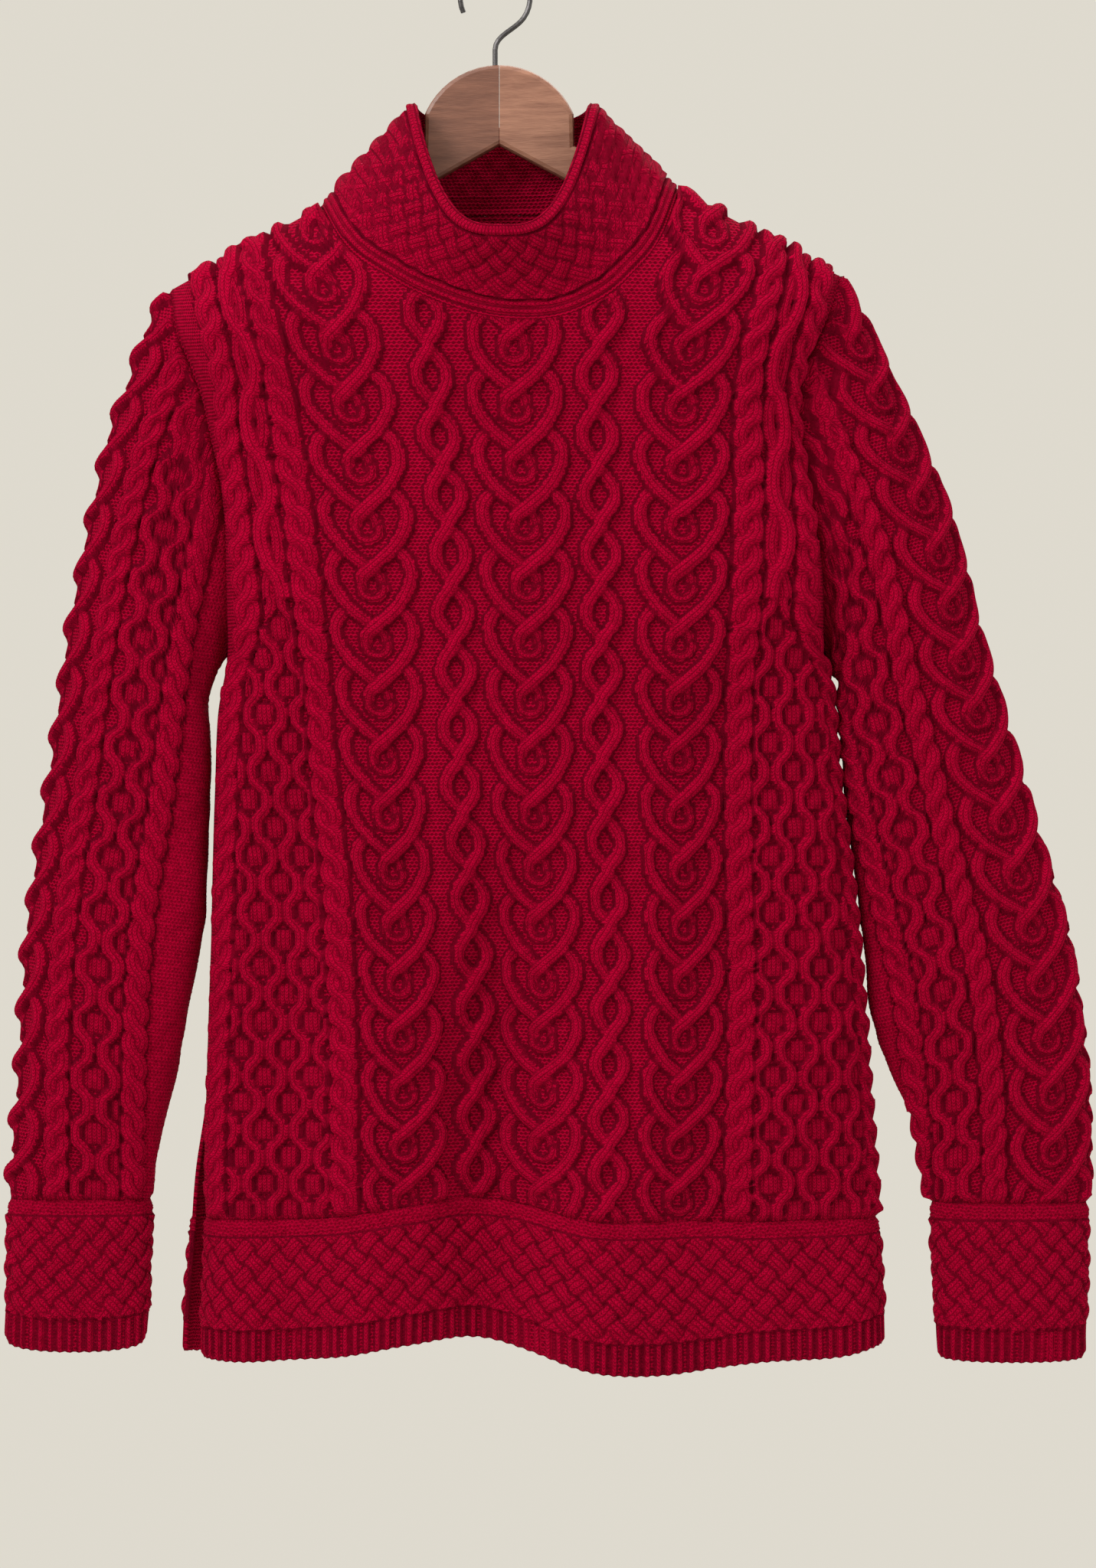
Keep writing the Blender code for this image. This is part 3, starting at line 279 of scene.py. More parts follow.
# Sleeve rings from the armhole to the cuff seam, in mm: the outer and inner ends of each ring as seen
# from the front, and its half depths
SLEEVES = {
    "left": np.array([
        (-209, -211, -171.5, -436.5, 25, 21),
        (-218, -232, -175, -446, 26, 23),
        (-226, -256, -178, -458, 27, 25),
        (-239, -293, -176.5, -474, 28, 26),
        (-248, -333, -176, -494, 29, 27),
        (-256, -372, -176.5, -517, 29, 27),
        (-263, -410, -177.5, -540, 29, 27),
        (-270, -460, -178.5, -568, 29, 27),
        (-276, -507, -180.5, -594, 29, 27),
        (-284, -555, -184.5, -618, 29, 27),
        (-290, -603, -190, -646, 28, 26),
        (-293, -650, -196, -680, 27, 25),
        (-296, -700, -204, -712, 24, 22),
        (-299, -735, -210, -740, 20, 19),
        (-301, -763, -212, -763, 18, 17),
    ]) * MM,
    "right": np.array([
        (222, -206, 210.5, -435.5, 25, 21),
        (231, -224, 215, -444, 25, 22),
        (241, -247, 214.5, -456, 26, 23),
        (255, -278, 214.5, -473, 26, 23),
        (276, -327, 215.5, -498, 25, 22),
        (289, -370, 218, -528, 24, 21),
        (300, -415, 221.5, -558, 23, 20),
        (313, -457, 225.5, -588, 22, 19),
        (326, -502, 229.5, -615, 21, 18),
        (341, -553, 231.5, -641, 20, 18),
        (354, -600, 237, -665, 20, 18),
        (362, -650, 247, -689, 19, 17),
        (366, -700, 258, -714, 19, 17),
        (367, -736, 265, -741, 18, 17),
        (367, -765, 269, -765, 18, 17),
    ]) * MM,
}
CUFF_END = {
    "left": (-303 * MM, -850 * MM, -216 * MM, -850 * MM, 18 * MM, 17 * MM),
    "right": (365 * MM, -860 * MM, 274 * MM, -860 * MM, 18 * MM, 17 * MM),
}
SLEEVE_TURN = {"left": 0.0, "right": 30 * MM}
SLEEVE_CABLES = 80 * MM
SLEEVE_HALF_GIRTH = 110 * MM
SLEEVE_PLAIN_SHARE = 1.12
SLEEVE_ROW = 1.8 * MM
ARMHOLE_ROWS = 7
RING_POWER = 2.2
RING_STEPS = 240

# Cables of a sleeve, in mm of cloth from the heart's middle
SLEEVE_HEART = 29 * MM
SLEEVE_ROPES = ((38 * MM, 1), (86 * MM, -1))
SLEEVE_CELLS = (47 * MM, 78 * MM)
SLEEVE_CELL_START = 54 * MM
SLEEVE_CELL_PITCH = 16 * MM
SLEEVE_MOSS = (94.5 * MM, 98.5 * MM)
SLEEVE_MOSS_RISE = 0.5 * MM
SLEEVE_MOSS_STEP = 1.2 * MM

# Wool: its colour runs from WOOL_DARK to WOOL_BRIGHT, with painted shade in the hollows and the yarn's own
# mottled tone
WOOL_DARK = (0.20, 0.0, 0.012, 1)
WOOL_BRIGHT = (0.475, 0.0, 0.033, 1)
WOOL_SHEEN = (1.0, 0.02, 0.14, 1)
WOOL_BUMP = 1.5 * MM

# Hanger's wood: waves of its grain to the metre along the arm, up and through
GRAIN_STRETCH = (14.0, 120.0, 120.0)

# Studio
FLOOR_RADIUS = 5.0
FLOOR_Z = -1.9
LIGHT_AIM = (0.03, 0, -0.5)
BACKDROP = (0.735, 0.70, 0.62, 1)


def curve_through(x, xs, ys):
    """Smooth curve through the points (xs, ys), read at x."""
    slopes = np.gradient(ys, xs)
    k = np.clip(np.searchsorted(xs, x) - 1, 0, len(xs) - 2)
    step = xs[k + 1] - xs[k]
    t = np.clip((x - xs[k]) / step, 0, 1)
    rise = 3 * t**2 - 2 * t**3
    bend = slopes[k] * (t**3 - 2 * t**2 + t) + slopes[k + 1] * (t**3 - t**2)
    return ys[k] * (1 - rise) + ys[k + 1] * rise + bend * step


def body_value(name, z):
    """A named column of the body table at height z."""
    return curve_through(z, BODY[:, 0], BODY[:, BODY_COLUMNS.index(name)])


def unit(vectors):
    """The vectors at length 1."""
    return vectors / np.linalg.norm(vectors, axis=-1, keepdims=True)


def smooth_step(t):
    """Rises softly from 0 to 1."""
    t = np.clip(t, 0, 1)
    return t * t * (3 - 2 * t)


def ramp(value, limits):
    """Rises softly from 0 to 1 between two limits."""
    return smooth_step((value - limits[0]) / (limits[1] - limits[0]))


def lengths(points, axis=0):
    """Length along a line of points, or along an axis of a grid of them, up to each point."""
    steps = np.linalg.norm(np.diff(points, axis=axis), axis=-1)
    start = np.zeros_like(np.take(steps, [0], axis=axis))
    return np.concatenate((start, steps.cumsum(axis=axis)), axis=axis)


def read_line(at, places, line):
    """Points of a line at some of its places."""
    return np.stack([np.interp(at, places, line[:, k]) for k in range(3)], axis=-1)


def section_table():
    """Round a quarter of the body's section: share of its length, across, deep. And that length, for a
    half width of 1."""
    angle = np.linspace(0, math.pi / 2, 400)
    across = np.sin(angle) ** (2 / SECTION_POWER)
    deep = np.cos(angle).clip(0) ** (2 / SECTION_POWER)
    length = lengths(np.stack((across, SECTION_ASPECT * deep), axis=-1))
    return length / length[-1], across, deep, length[-1]


SECTION = section_table()


def lane_share(u, z):
    """Share of the half panel's arc at lane coordinate u and height z."""
    u = np.abs(u)
    share = np.zeros(np.broadcast(u, z).shape)
    for k in range(len(LANE_ENDS) - 1):
        t = np.clip((u - LANE_ENDS[k]) / (LANE_ENDS[k + 1] - LANE_ENDS[k]), 0, 1)
        width = np.interp(z, LANE_SHARES_Z, LANE_SHARES[:, k + 1] - LANE_SHARES[:, k])
        share = share + t * width
    return share


def shoulder_height(x):
    """Height of the shoulder line over x, carried on to the middle."""
    left = NECK_LEFT[1] + (x - NECK_LEFT[0]) * LEFT_FALL
    right = NECK_RIGHT[1] - (x - NECK_RIGHT[0]) * RIGHT_FALL
    return np.minimum(left, right)


def top_height(face, x):
    """Height of a panel's top edge over x: the neckline, then the shoulders."""
    line = FRONT_NECK if face == "front" else BACK_NECK
    inside = (x > NECK_LEFT[0]) & (x < NECK_RIGHT[0])
    return np.where(inside, curve_through(x, line[:, 0], line[:, 1]), shoulder_height(x))


def fold_depth(face, x, z):
    """How far the folds push the cloth in at x and z."""
    total = np.zeros(np.broadcast(x, z).shape)
    for row in FOLDS[face]:
        x_top, x_bottom, z_top, z_bottom, half_width, depth = (value * MM for value in row)
        down = np.clip((z_top - z) / (z_top - z_bottom), 0, 1)
        middle = x_top + (x_bottom - x_top) * down
        total = total + depth * smooth_step(down) * np.exp(-(((x - middle) / half_width) ** 2))
    return total


def body_form(face, u, z):
    """Points of the front or back form at lane coordinate u and height z."""
    u, z = np.broadcast_arrays(u, z)
    share = lane_share(u, z)
    across = np.interp(share, SECTION[0], SECTION[1])
    deep = np.interp(share, SECTION[0], SECTION[2])
    names = ("left", "right") if face == "front" else ("back_left", "back_right")
    centre = body_value("centre", z)
    edge = np.where(u < 0, body_value(names[0], z), body_value(names[1], z))
    x = centre + (edge - centre) * across
    edge_depth = np.maximum(body_value(face + "_edge", z), 0)
    depth = edge_depth + (body_value(face, z) - edge_depth) * deep
    fall = np.clip((shoulder_height(x) - z) / SHOULDER_ROUND[face], 0, 1)
    depth = depth * np.sqrt(1 - (1 - fall) ** 2) - fold_depth(face, x, z) * deep
    return np.stack((x, depth if face == "back" else -depth, z), axis=-1)


def neck_column(side):
    """Lane coordinate that meets the neck point on one side."""
    x, z = NECK_LEFT if side < 0 else NECK_RIGHT
    u = side * np.linspace(60, 130, 1401) * MM
    return float(u[np.argmin(np.abs(body_form("front", u, z)[:, 0] - x))])


NECK_COLUMNS = (neck_column(-1), neck_column(1))


def repeat_count(z):
    """Cable repeats from the hem seam up to z. Strands cross at whole numbers."""
    growth = (NECK_REPEAT - HEM_REPEAT) / REPEAT_SPAN
    return np.log1p((z - HEM_SEAM_Z) * growth / HEM_REPEAT) / growth + CROSSING_OFFSET


def panel_top(face, u):
    """Height of the top edge at lane coordinate u."""
    z = np.full(u.shape, -190 * MM)
    for _ in range(12):
        z = top_height(face, body_form(face, u, z)[..., 0])
    for neck_u, neck in zip(NECK_COLUMNS, (NECK_LEFT, NECK_RIGHT)):
        z = np.where(u == neck_u, neck[1], z)
    return z


def cloth_arc(u, z):
    """Length of cloth from the middle to lane coordinate u at height z."""
    edge = np.where(u < 0, body_value("left", z), body_value("right", z))
    return lane_share(u, z) * SECTION[3] * np.abs(edge - body_value("centre", z))


def line_under(line, face, u, nominal):
    """Height of a hem line at lane coordinate u."""
    x = body_form(face, u, np.full(u.shape, nominal))[..., 0]
    return curve_through(x, line[:, 0], line[:, 1])


def border(grid):
    """The grid's border vertices in order, with each one's place from 0 to 4."""
    rows, columns = len(grid), len(grid[0])
    ring = [(grid[0][j], j / (columns - 1)) for j in range(columns - 1)]
    ring += [(grid[i][-1], 1 + i / (rows - 1)) for i in range(rows - 1)]
    ring += [(grid[-1][j], 2 + 1 - j / (columns - 1)) for j in range(columns - 1, 0, -1)]
    ring += [(grid[i][0], 3 + 1 - i / (rows - 1)) for i in range(rows - 1, 0, -1)]
    return ring


def zip_rings(bm, first, second, length):
    """Closes the strip between two rings of (vertex, place) with any counts."""
    i = j = 0
    while i < len(first) or j < len(second):
        a, b = first[i % len(first)][0], second[j % len(second)][0]
        next_a, next_b = first[(i + 1) % len(first)], second[(j + 1) % len(second)]
        place_a = next_a[1] + (length if i + 1 >= len(first) else 0)
        place_b = next_b[1] + (length if j + 1 >= len(second) else 0)
        if j >= len(second) or (i < len(first) and place_a <= place_b):
            bm.faces.new((a, next_a[0], b))
            i += 1
        else:
            bm.faces.new((a, next_b[0], b))
            j += 1


def armhole_direction(face, side, z, tip_z):
    """Shared outward direction of body and sleeve on the armhole seam."""
    down = np.clip((tip_z - z) / (tip_z - ARMPIT_Z), 0, 1)
    forward = math.sin(math.pi * down) * (-1 if face == "front" else 1)
    sideways = ARMHOLE_LEAN * (1 - down) ** 2 + down**3
    return unit(np.array((side * sideways, forward, math.cos(math.pi * down))))


def arc_share(points):
    """Share of the length along a line of points."""
    length = lengths(points)
    return length / length[-1]


def neck_directions(face, points):
    """Shared outward directions of body and collar on the neck seam, left to right."""
    angle = math.pi * (1 - arc_share(points))
    forward = np.sin(angle) * (-1 if face == "front" else 1)
    sideways, up = NECK_LEAN
    return unit(np.stack((sideways * np.cos(angle), forward, up * np.abs(np.cos(angle))), axis=-1))


def sleeve_ring(row):
    """A dense ring of a sleeve from its outer end round the front, and its length."""
    outer_x, outer_z, inner_x, inner_z, front, back = row
    angle = np.linspace(0, 2 * math.pi, RING_STEPS + 1)
    across = np.sign(np.cos(angle)) * np.abs(np.cos(angle)) ** (2 / RING_POWER)
    deep = np.sign(np.sin(angle)) * np.abs(np.sin(angle)) ** (2 / RING_POWER)
    x = (outer_x + inner_x) / 2 + (outer_x - inner_x) / 2 * across
    z = (outer_z + inner_z) / 2 + (outer_z - inner_z) / 2 * across
    y = -np.where(deep > 0, front, back) * deep
    ring = np.stack((x, y, z), axis=-1)
    return ring, lengths(ring)


def body_columns():
    """Lane coordinates of the body's columns, with the neck points among them."""
    columns = np.linspace(-PANEL_EDGE, PANEL_EDGE, 241)
    for u in NECK_COLUMNS:
        columns[np.argmin(np.abs(columns - u))] = u
    return columns


COLUMNS = body_columns()
HEM_COLUMNS = np.linspace(-PANEL_EDGE, PANEL_EDGE, 329)


class Relief:
    """Height over the purl ground, and each point's place among its stitches."""

    def __init__(self, x, y):
        x, y = np.broadcast_arrays(x, y)
        self.ground_across = x / PURL_WIDTH
        self.ground_along = y / ROW
        self.height = np.zeros(x.shape)
        self.across = self.ground_across.copy()
        self.along = self.ground_along.copy()
        self.knit = np.zeros(x.shape)

    def lay(self, height, across, along, knit=1.0, where=True):
        """Lays knitting where it stands higher than what is there."""
        higher = (height > self.height) & where
        self.height = np.where(higher, height, self.height)
        self.across = np.where(higher, across, self.across)
        self.along = np.where(higher, along, self.along)
        self.knit = np.where(higher, knit, self.knit)


def dome(distance, half_width):
    """Round cross-section of a strand, 1 on its crest and 0 at its edges."""
    return np.clip(1 - np.abs(distance / half_width) ** DOME_POWERS[0], 0, 1) ** DOME_POWERS[1]


def strand(distance, half_width, rise, level=0):
    """Height of a strand at a distance from its middle line, and -1 beyond its edges."""
    return np.where(np.abs(distance) < half_width, level + rise * dome(distance, half_width), -1)


def smooth_path(points, count):
    """Evenly spread points along a smooth curve through a table's rows."""
    at = lengths(points[:, :2])
    wanted = np.linspace(0, at[-1], count)
    return np.stack([curve_through(wanted, at, points[:, k]) for k in range(points.shape[1])], axis=-1)


def nearest_on(path, x, y):
    """Distance from a path, to its left or right, the length along it and its level there."""
    best = np.full(x.shape, np.inf)
    side = np.zeros(x.shape)
    along = np.zeros(x.shape)
    level = np.zeros(x.shape)
    length = 0.0
    for start, end in zip(path[:-1], path[1:]):
        step = end[:2] - start[:2]
        size = np.hypot(*step)
        t = np.clip(((x - start[0]) * step[0] + (y - start[1]) * step[1]) / size**2, 0, 1)
        dx = x - start[0] - t * step[0]
        dy = y - start[1] - t * step[1]
        distance = np.hypot(dx, dy)
        closer = distance < best
        best = np.where(closer, distance, best)
        side = np.where(closer, np.sign(dx * step[1] - dy * step[0]), side)
        along = np.where(closer, length + t * size, along)
        level = np.where(closer, start[2] + t * (end[2] - start[2]), level)
        length += size
    return best * side, along, level


def lay_path(relief, path, x, y, half_width, rise, where):
    """Lays one strand along a path."""
    inside = where & (x > path[:, 0].min() - half_width) & (x < path[:, 0].max() + half_width)
    inside &= (y > path[:, 1].min() - half_width) & (y < path[:, 1].max() + half_width)
    distance, along, level = nearest_on(path, x[inside], y[inside])
    height, across, rows = (np.full(x.shape, -1.0) for _ in range(3))
    height[inside] = strand(distance, half_width, rise, level)
    across[inside] = distance / WALE
    rows[inside] = along / ROW
    relief.lay(height, across, rows)


def lay_heart(relief, x, turn, where):
    """Heart cable: two arms part from a crossing and curl in under the next heart, round a small ring."""
    y = (turn - np.floor(turn)) * HEART_REPEAT
    right = smooth_path(HEART_ARM[:, :3], 40)
    left = smooth_path(HEART_ARM[:, [0, 1, 3]] * (-1, 1, 1), 40)
    ring = smooth_path(HEART_RING, 24)
    for path, size in ((ring, HEART_RING_STRAND), (left, HEART_STRAND), (right, HEART_STRAND)):
        for repeat in (-1, 0, 1):
            lay_path(relief, path + (0, repeat * HEART_REPEAT, 0), x, y, *size, where)


def pair_table(spread, repeat, power):
    """One half turn of a strand that swings to one side: its shares, offsets, stretch and length."""
    share = np.linspace(0, 1, 121)
    offset = spread * np.sin(math.pi * share) ** power
    slope = np.gradient(offset, share * repeat)
    stretch = np.sqrt(1 + slope**2)
    length = np.concatenate(([0], np.cumsum(stretch[1:] * np.diff(share) * repeat)))
    return share, offset, stretch, length


def lay_pair(relief, x, turn, pair, repeat, lean, where):
    """Two strands that cross once a repeat: the upper one climbs to the right where lean is 1, and the same
    strand lies on top at every crossing where lean is 0."""
    spread, half_width, power = pair
    share, offset, stretch, length = pair_table(spread, repeat, power)
    half_turn = np.floor(turn)
    part = turn - half_turn
    swing = np.interp(part, share, offset) * np.where(half_turn % 2 < 1, 1, -1)
    wide = np.interp(part, share, stretch)
    along = np.interp(part, share, length) + half_turn * length[-1]
    for sign in (-1, 1):
        distance = (x - sign * swing) / wide
        level = (lean * np.cos(math.pi * turn) + (1 - abs(lean))) * sign * CROSSING_RISE
        height = strand(distance, half_width, STRAND_RISE, level)
        relief.lay(height, distance / WALE, along / ROW, where=where)


def lay_honeycomb(relief, x, turn, pitch, cells, where):
    """Staggered cells: strands run in pairs, then part round a hollow and join their other neighbours."""
    along = turn * CELL_STRAND_LENGTH / ROW
    sway = CELL_SWAY * pitch
    for k in range(cells + 1):
        phase = 2 * math.pi * (turn - k / 2)
        wave = np.cos(phase)
        flat = np.tanh(CELL_PLATEAU * wave)
        slope = 2 * math.pi * CELL_PLATEAU / BODY_REPEAT * sway * (1 - flat**2) * np.sin(phase)
        distance = (x - k * pitch + sway * flat / math.tanh(CELL_PLATEAU)) / np.sqrt(1 + slope**2)
        height = strand(distance, pitch * CELL_STRAND_SHARE, STRAND_RISE)
        relief.lay(height, distance / WALE, along, where=where)
        hollow = x - (k + 0.5) * pitch
        open_share = np.clip(1 + HOLLOW_SHARPNESS * (wave - 1), 0, 1) ** 0.5
        floor = HOLLOW_RISE * dome(hollow, pitch * HOLLOW_SHARE) * open_share
        relief.lay(floor, hollow / WALE, along, where=where & (open_share > 0))


def lay_moss(relief, x, y, rise, where):
    """Moss stitch: small bumps in a checker."""
    bump = np.sin(math.pi * x / PURL_WIDTH) * np.sin(math.pi * y / ROW)
    relief.lay((0.9 + MOSS_BUMP * bump) * rise, x / PURL_WIDTH, y / ROW, MOSS_KNIT, where)


def lay_weave(relief, x, y, width, height, rise, where):
    """Woven cables: strands on both diagonals pass over and under each other."""
    rising = (x / width + y / height) / 2
    falling = (x / width - y / height) / 2
    size = math.hypot(width, height)
    for along, across, over in ((rising, falling, 1), (falling, rising, -1)):
        lane = np.floor(across)
        distance = across - lane - 0.5
        level = 1 - WEAVE_SWING + WEAVE_SWING * over * np.cos(math.pi * (along - 0.5 - lane))
        lift = rise * level * dome(distance, WEAVE_HALF_STRAND)
        relief.lay(lift + JUST_OVER, distance * size / WALE, along * size / ROW, 1.0, where)


def rib_wave(x):
    """1 on the crest of each rib and 0 between ribs."""
    return 0.5 + 0.5 * np.cos(2 * math.pi * x / RIB_PITCH)


def lay_rib(relief, x, y, where):
    """Upright ribs."""
    place = x / RIB_PITCH - np.round(x / RIB_PITCH)
    up = rib_wave(x) ** RIB_POWER
    relief.lay(RIB_RISE * up + JUST_OVER, place * RIB_PITCH / WALE, y / ROW, 1.0, where & (up > RIB_FOOT))


def lay_line(relief, x, y, middle, half_width, rise, where):
    """A raised line of stitches that runs across."""
    distance = y - middle
    relief.lay(strand(distance, half_width, rise), distance / WALE, x / ROW, 1.0, where)


def uneven(a, b):
    """Soft unevenness from -1 to 1 over two lengths of cloth, from waves of 4 to 15 cm."""
    slow = np.sin(a * 61 + 1.7 * np.sin(b * 43)) * np.cos(b * 52 + 1.3 * np.sin(a * 37))
    quick = np.sin(a * 170 - b * 120 + 2 * np.sin(b * 90))
    return 0.65 * slow + 0.35 * quick


def body_relief(u, z):
    """Cables of the front and back at lane coordinate u and height z."""
    relief = Relief(u, z)
    turn = repeat_count(z) + UNEVEN_SWAY * uneven(u, z) / BODY_REPEAT
    half_cloth = cloth_arc(u, z)
    from_edge = cloth_arc(np.where(u < 0, -PANEL_EDGE, PANEL_EDGE), z) - half_cloth
    middle, side_heart, scale, pitch = (np.interp(z, CABLES_Z, table)
                                        for table in (CABLE_MIDDLE, SIDE_HEARTS, HEART_SCALE, CELL_PITCH))
    x = np.where(u < 0, -half_cloth, half_cloth) - middle + UNEVEN_SWAY * uneven(z, u)
    heart_half = HEART_HALF_WIDTH * scale
    heart_edge = side_heart + heart_half
    closes = ramp(z, YOKE_CLOSES_Z)
    wide = 1 + YOKE_STRETCH * closes * (1 - ramp(z, YOKE_NARROWS_Z))
    beyond = np.abs(x) - heart_edge - ROPE_WIDTH * wide
    between = beyond > 0
    lay_heart(relief, x / scale, turn, np.abs(x) < heart_half)
    for sign in (-1, 1):
        half = (x < 0) if sign < 0 else (x >= 0)
        chain = (x - sign * CHAIN_SHARE * side_heart) / scale**0.5
        lay_pair(relief, chain, turn + CHAIN_START, CHAIN, BODY_REPEAT, 1, half)
        from_heart = x - sign * side_heart
        lay_heart(relief, from_heart / scale, turn, half & (np.abs(from_heart) < heart_half))
        rope = (x - sign * (heart_edge + ROPE_WIDTH / 2 * wide)) / wide
        lay_pair(relief, rope, 2 * turn, ROPE, BODY_REPEAT / 2, sign, half)
        below = from_edge - np.interp(z, SIDE_ROPE_Z, SIDE_ROPE_PLACE[sign])
        above = (ROPE_WIDTH + YOKE_ROPE_WIDTH + SIDE_ROPE_WIDTH / 2) * wide - (sign * x - heart_edge)
        inwards = (below + closes * (above - below)) / wide
        lay_pair(relief, sign * inwards, 2 * turn, SIDE_ROPE, BODY_REPEAT / 2, sign, half)
        between &= ~half | (inwards > SIDE_ROPE_WIDTH / 2)
    yoke = turn > YOKE_ROPES_TURN - 0.5 * (beyond > ROPE_WIDTH)
    lay_honeycomb(relief, beyond - CELL_START, turn, pitch, CELL_COUNT, between & ~yoke)
    yoke_rope = beyond / wide - YOKE_ROPE_WIDTH / 2
    lay_pair(relief, yoke_rope, turn, YOKE_ROPE, BODY_REPEAT, 0, between & yoke)
    return relief


def sleeve_relief(x, up, viewer):
    """Cables of a sleeve: x is the cloth across from the heart's middle, and up the length along the sleeve.
    viewer is 1 where x runs to the right as seen from outside."""
    relief = Relief(x, up)
    turn = up / SLEEVE_REPEAT
    a = np.abs(x)
    lay_heart(relief, viewer * x, turn, a < SLEEVE_HEART)
    for sign in (-1, 1):
        half = (x < 0) if sign < 0 else (x >= 0)
        for place, lean in SLEEVE_ROPES:
            rope = x - sign * place
            lay_pair(relief, rope, 2 * turn, SLEEVE_ROPE, SLEEVE_REPEAT / 2, lean * sign * viewer, half)
    cells = (a > SLEEVE_CELLS[0]) & (a < SLEEVE_CELLS[1])
    lay_honeycomb(relief, a - SLEEVE_CELL_START, turn, SLEEVE_CELL_PITCH, 1, cells)
    lay_moss(relief, x, up, SLEEVE_MOSS_RISE, a > SLEEVE_MOSS[0])
    relief.height = relief.height + SLEEVE_MOSS_STEP * ramp(a, SLEEVE_MOSS)
    return relief


def band_relief(x, below_top, above_edge, rib_height):
    """Band: moss under the seam, woven cables, and ribs along the edge."""
    relief = Relief(x, above_edge)
    lay_moss(relief, x, above_edge, BAND_MOSS_RISE, below_top < BAND_MOSS)
    ribs = above_edge < rib_height
    lay_weave(relief, x, above_edge - rib_height, *BAND_WEAVE, ~ribs & (below_top >= BAND_MOSS))
    lay_rib(relief, x, above_edge, ribs)
    return relief


def edge_distance(points, closed):
    """Distance of each grid point from the nearest open border of its grid."""
    down = lengths(points)
    distance = np.minimum(down, down[-1] - down)
    if not closed:
        across = lengths(points, axis=1)
        distance = np.minimum(distance, np.minimum(across, across[:, -1:] - across))
    return distance


def grid_normals(points, closed, outward_from):
    """Outward directions of a grid of form points. A closed grid's last column repeats its first."""
    if closed:
        ring = points[:, :-1]
        around = np.roll(ring, -1, axis=1) - np.roll(ring, 1, axis=1)
        around = np.concatenate((around, around[:, :1]), axis=1)
    else:
        around = np.gradient(points, axis=1)
    normals = unit(np.cross(around, np.gradient(points, axis=0)))
    if np.sum(normals * (points - outward_from)) < 0:
        normals = -normals
    return normals


def part_seams(points, closed):
    """The points with their borders drawn back from the seams by half the gap."""
    parted = points.copy()
    pairs = [(np.s_[0], np.s_[1]), (np.s_[-1], np.s_[-2])]
    if not closed:
        pairs += [(np.s_[:, 0], np.s_[:, 1]), (np.s_[:, -1], np.s_[:, -2])]
    for edge, inside in pairs:
        parted[edge] += SEAM_HALF_GAP * unit(points[inside] - points[edge])
    return parted


def add_grid(bm, points, stitches):
    """A bmesh grid moved to the points, with its stitch places. Returns its vertices in rows."""
    rows, columns = points.shape[:2]
    place = bm.verts.layers.float_vector["place"]
    crest = bm.verts.layers.float["crest"]
    made = bmesh.ops.create_grid(bm, x_segments=columns - 1, y_segments=rows - 1, size=0.5)
    ordered = sorted(made["verts"], key=lambda v: (round(v.co.y, 6), round(v.co.x, 6)))
    for vertex, co, stitch in zip(ordered, points.reshape(-1, 3).tolist(), stitches.reshape(-1, 4).tolist()):
        vertex.co = co
        vertex[place] = stitch[:3]
        vertex[crest] = stitch[3]
    return [ordered[k * columns:(k + 1) * columns] for k in range(rows)]


def rim_points(bm, ring, points, stitches):
    """New vertices along a border of the inside, with the places of that border."""
    place = bm.verts.layers.float_vector["place"]
    made = []
    for (_, at), co, stitch in zip(ring, points, stitches):
        vertex = bm.verts.new(co)
        vertex[place] = tuple(stitch[:3])
        made.append((vertex, at))
    return made


def inner_steps(count, step):
    """Indexes of the plain inside's own rows or columns, one in from each border."""
    pieces = max(1, round((count - 3) / step))
    return np.unique(np.round(np.linspace(1, count - 2, pieces + 1)).astype(int))


def ring_of(vertices):
    """A closed grid row as (vertex, place), without its repeated end."""
    count = len(vertices) - 1
    return [(vertices[k], k / count) for k in range(count)]


def finish_piece(name, bm, material):
    """Turns the bmesh into a smooth named object with its stitches as a UV map."""
    place = bm.verts.layers.float_vector["place"]
    knit = bm.verts.layers.float["knit"]
    for vertex in bm.verts:
        vertex[knit] = vertex[place][2]
    stitches = bm.loops.layers.uv.new("stitches")
    for face in bm.faces:
        for loop in face.loops:
            loop[stitches].uv = loop.vert[place][:2]
    bm.verts.layers.float_vector.remove(place)
    bmesh.ops.remove_doubles(bm, verts=bm.verts, dist=2e-6)
    bmesh.ops.recalc_face_normals(bm, faces=bm.faces)
    mesh = bpy.data.meshes.new(name)
    bm.to_mesh(mesh)
    bm.free()
    mesh.materials.append(material)
    mesh.shade_smooth()
    obj = bpy.data.objects.new(name, mesh)
    bpy.context.scene.collection.objects.link(obj)


def line_tube(bm, outer, inside, plain, rows, column_step):
    """The plain inside of a tube, and the rims at its two open ends."""
    count = inside.shape[1] - 1
    columns = np.unique(np.round(np.linspace(0, count, count // column_step + 1)).astype(int))
    own = np.ix_(rows, columns)
    lining = add_grid(bm, inside[own], plain[own])
    for end in (0, -1):
        edge = ring_of(outer[end])
        rim = rim_points(bm, edge, inside[end].tolist(), plain[end].tolist())
        zip_rings(bm, edge, rim, 1)
        inner = [(v, k / count) for k, v in zip(columns[:-1], lining[end])]
        zip_rings(bm, rim, inner, 1)


def line_panel(bm, outer, inside, plain, rows, column_step):
    """The plain inside of an open panel, and the rim all round it."""
    own = np.ix_(rows, inner_steps(inside.shape[1], column_step))
    lining = add_grid(bm, inside[own], plain[own])
    edge = border(outer)
    order = border([[(i, j) for j in range(inside.shape[1])] for i in range(len(inside))])
    rim = rim_points(bm, edge, [inside[ij].tolist() for ij, _ in order],
                     [plain[ij].tolist() for ij, _ in order])
    zip_rings(bm, edge, rim, 4)
    zip_rings(bm, rim, border(lining), 4)


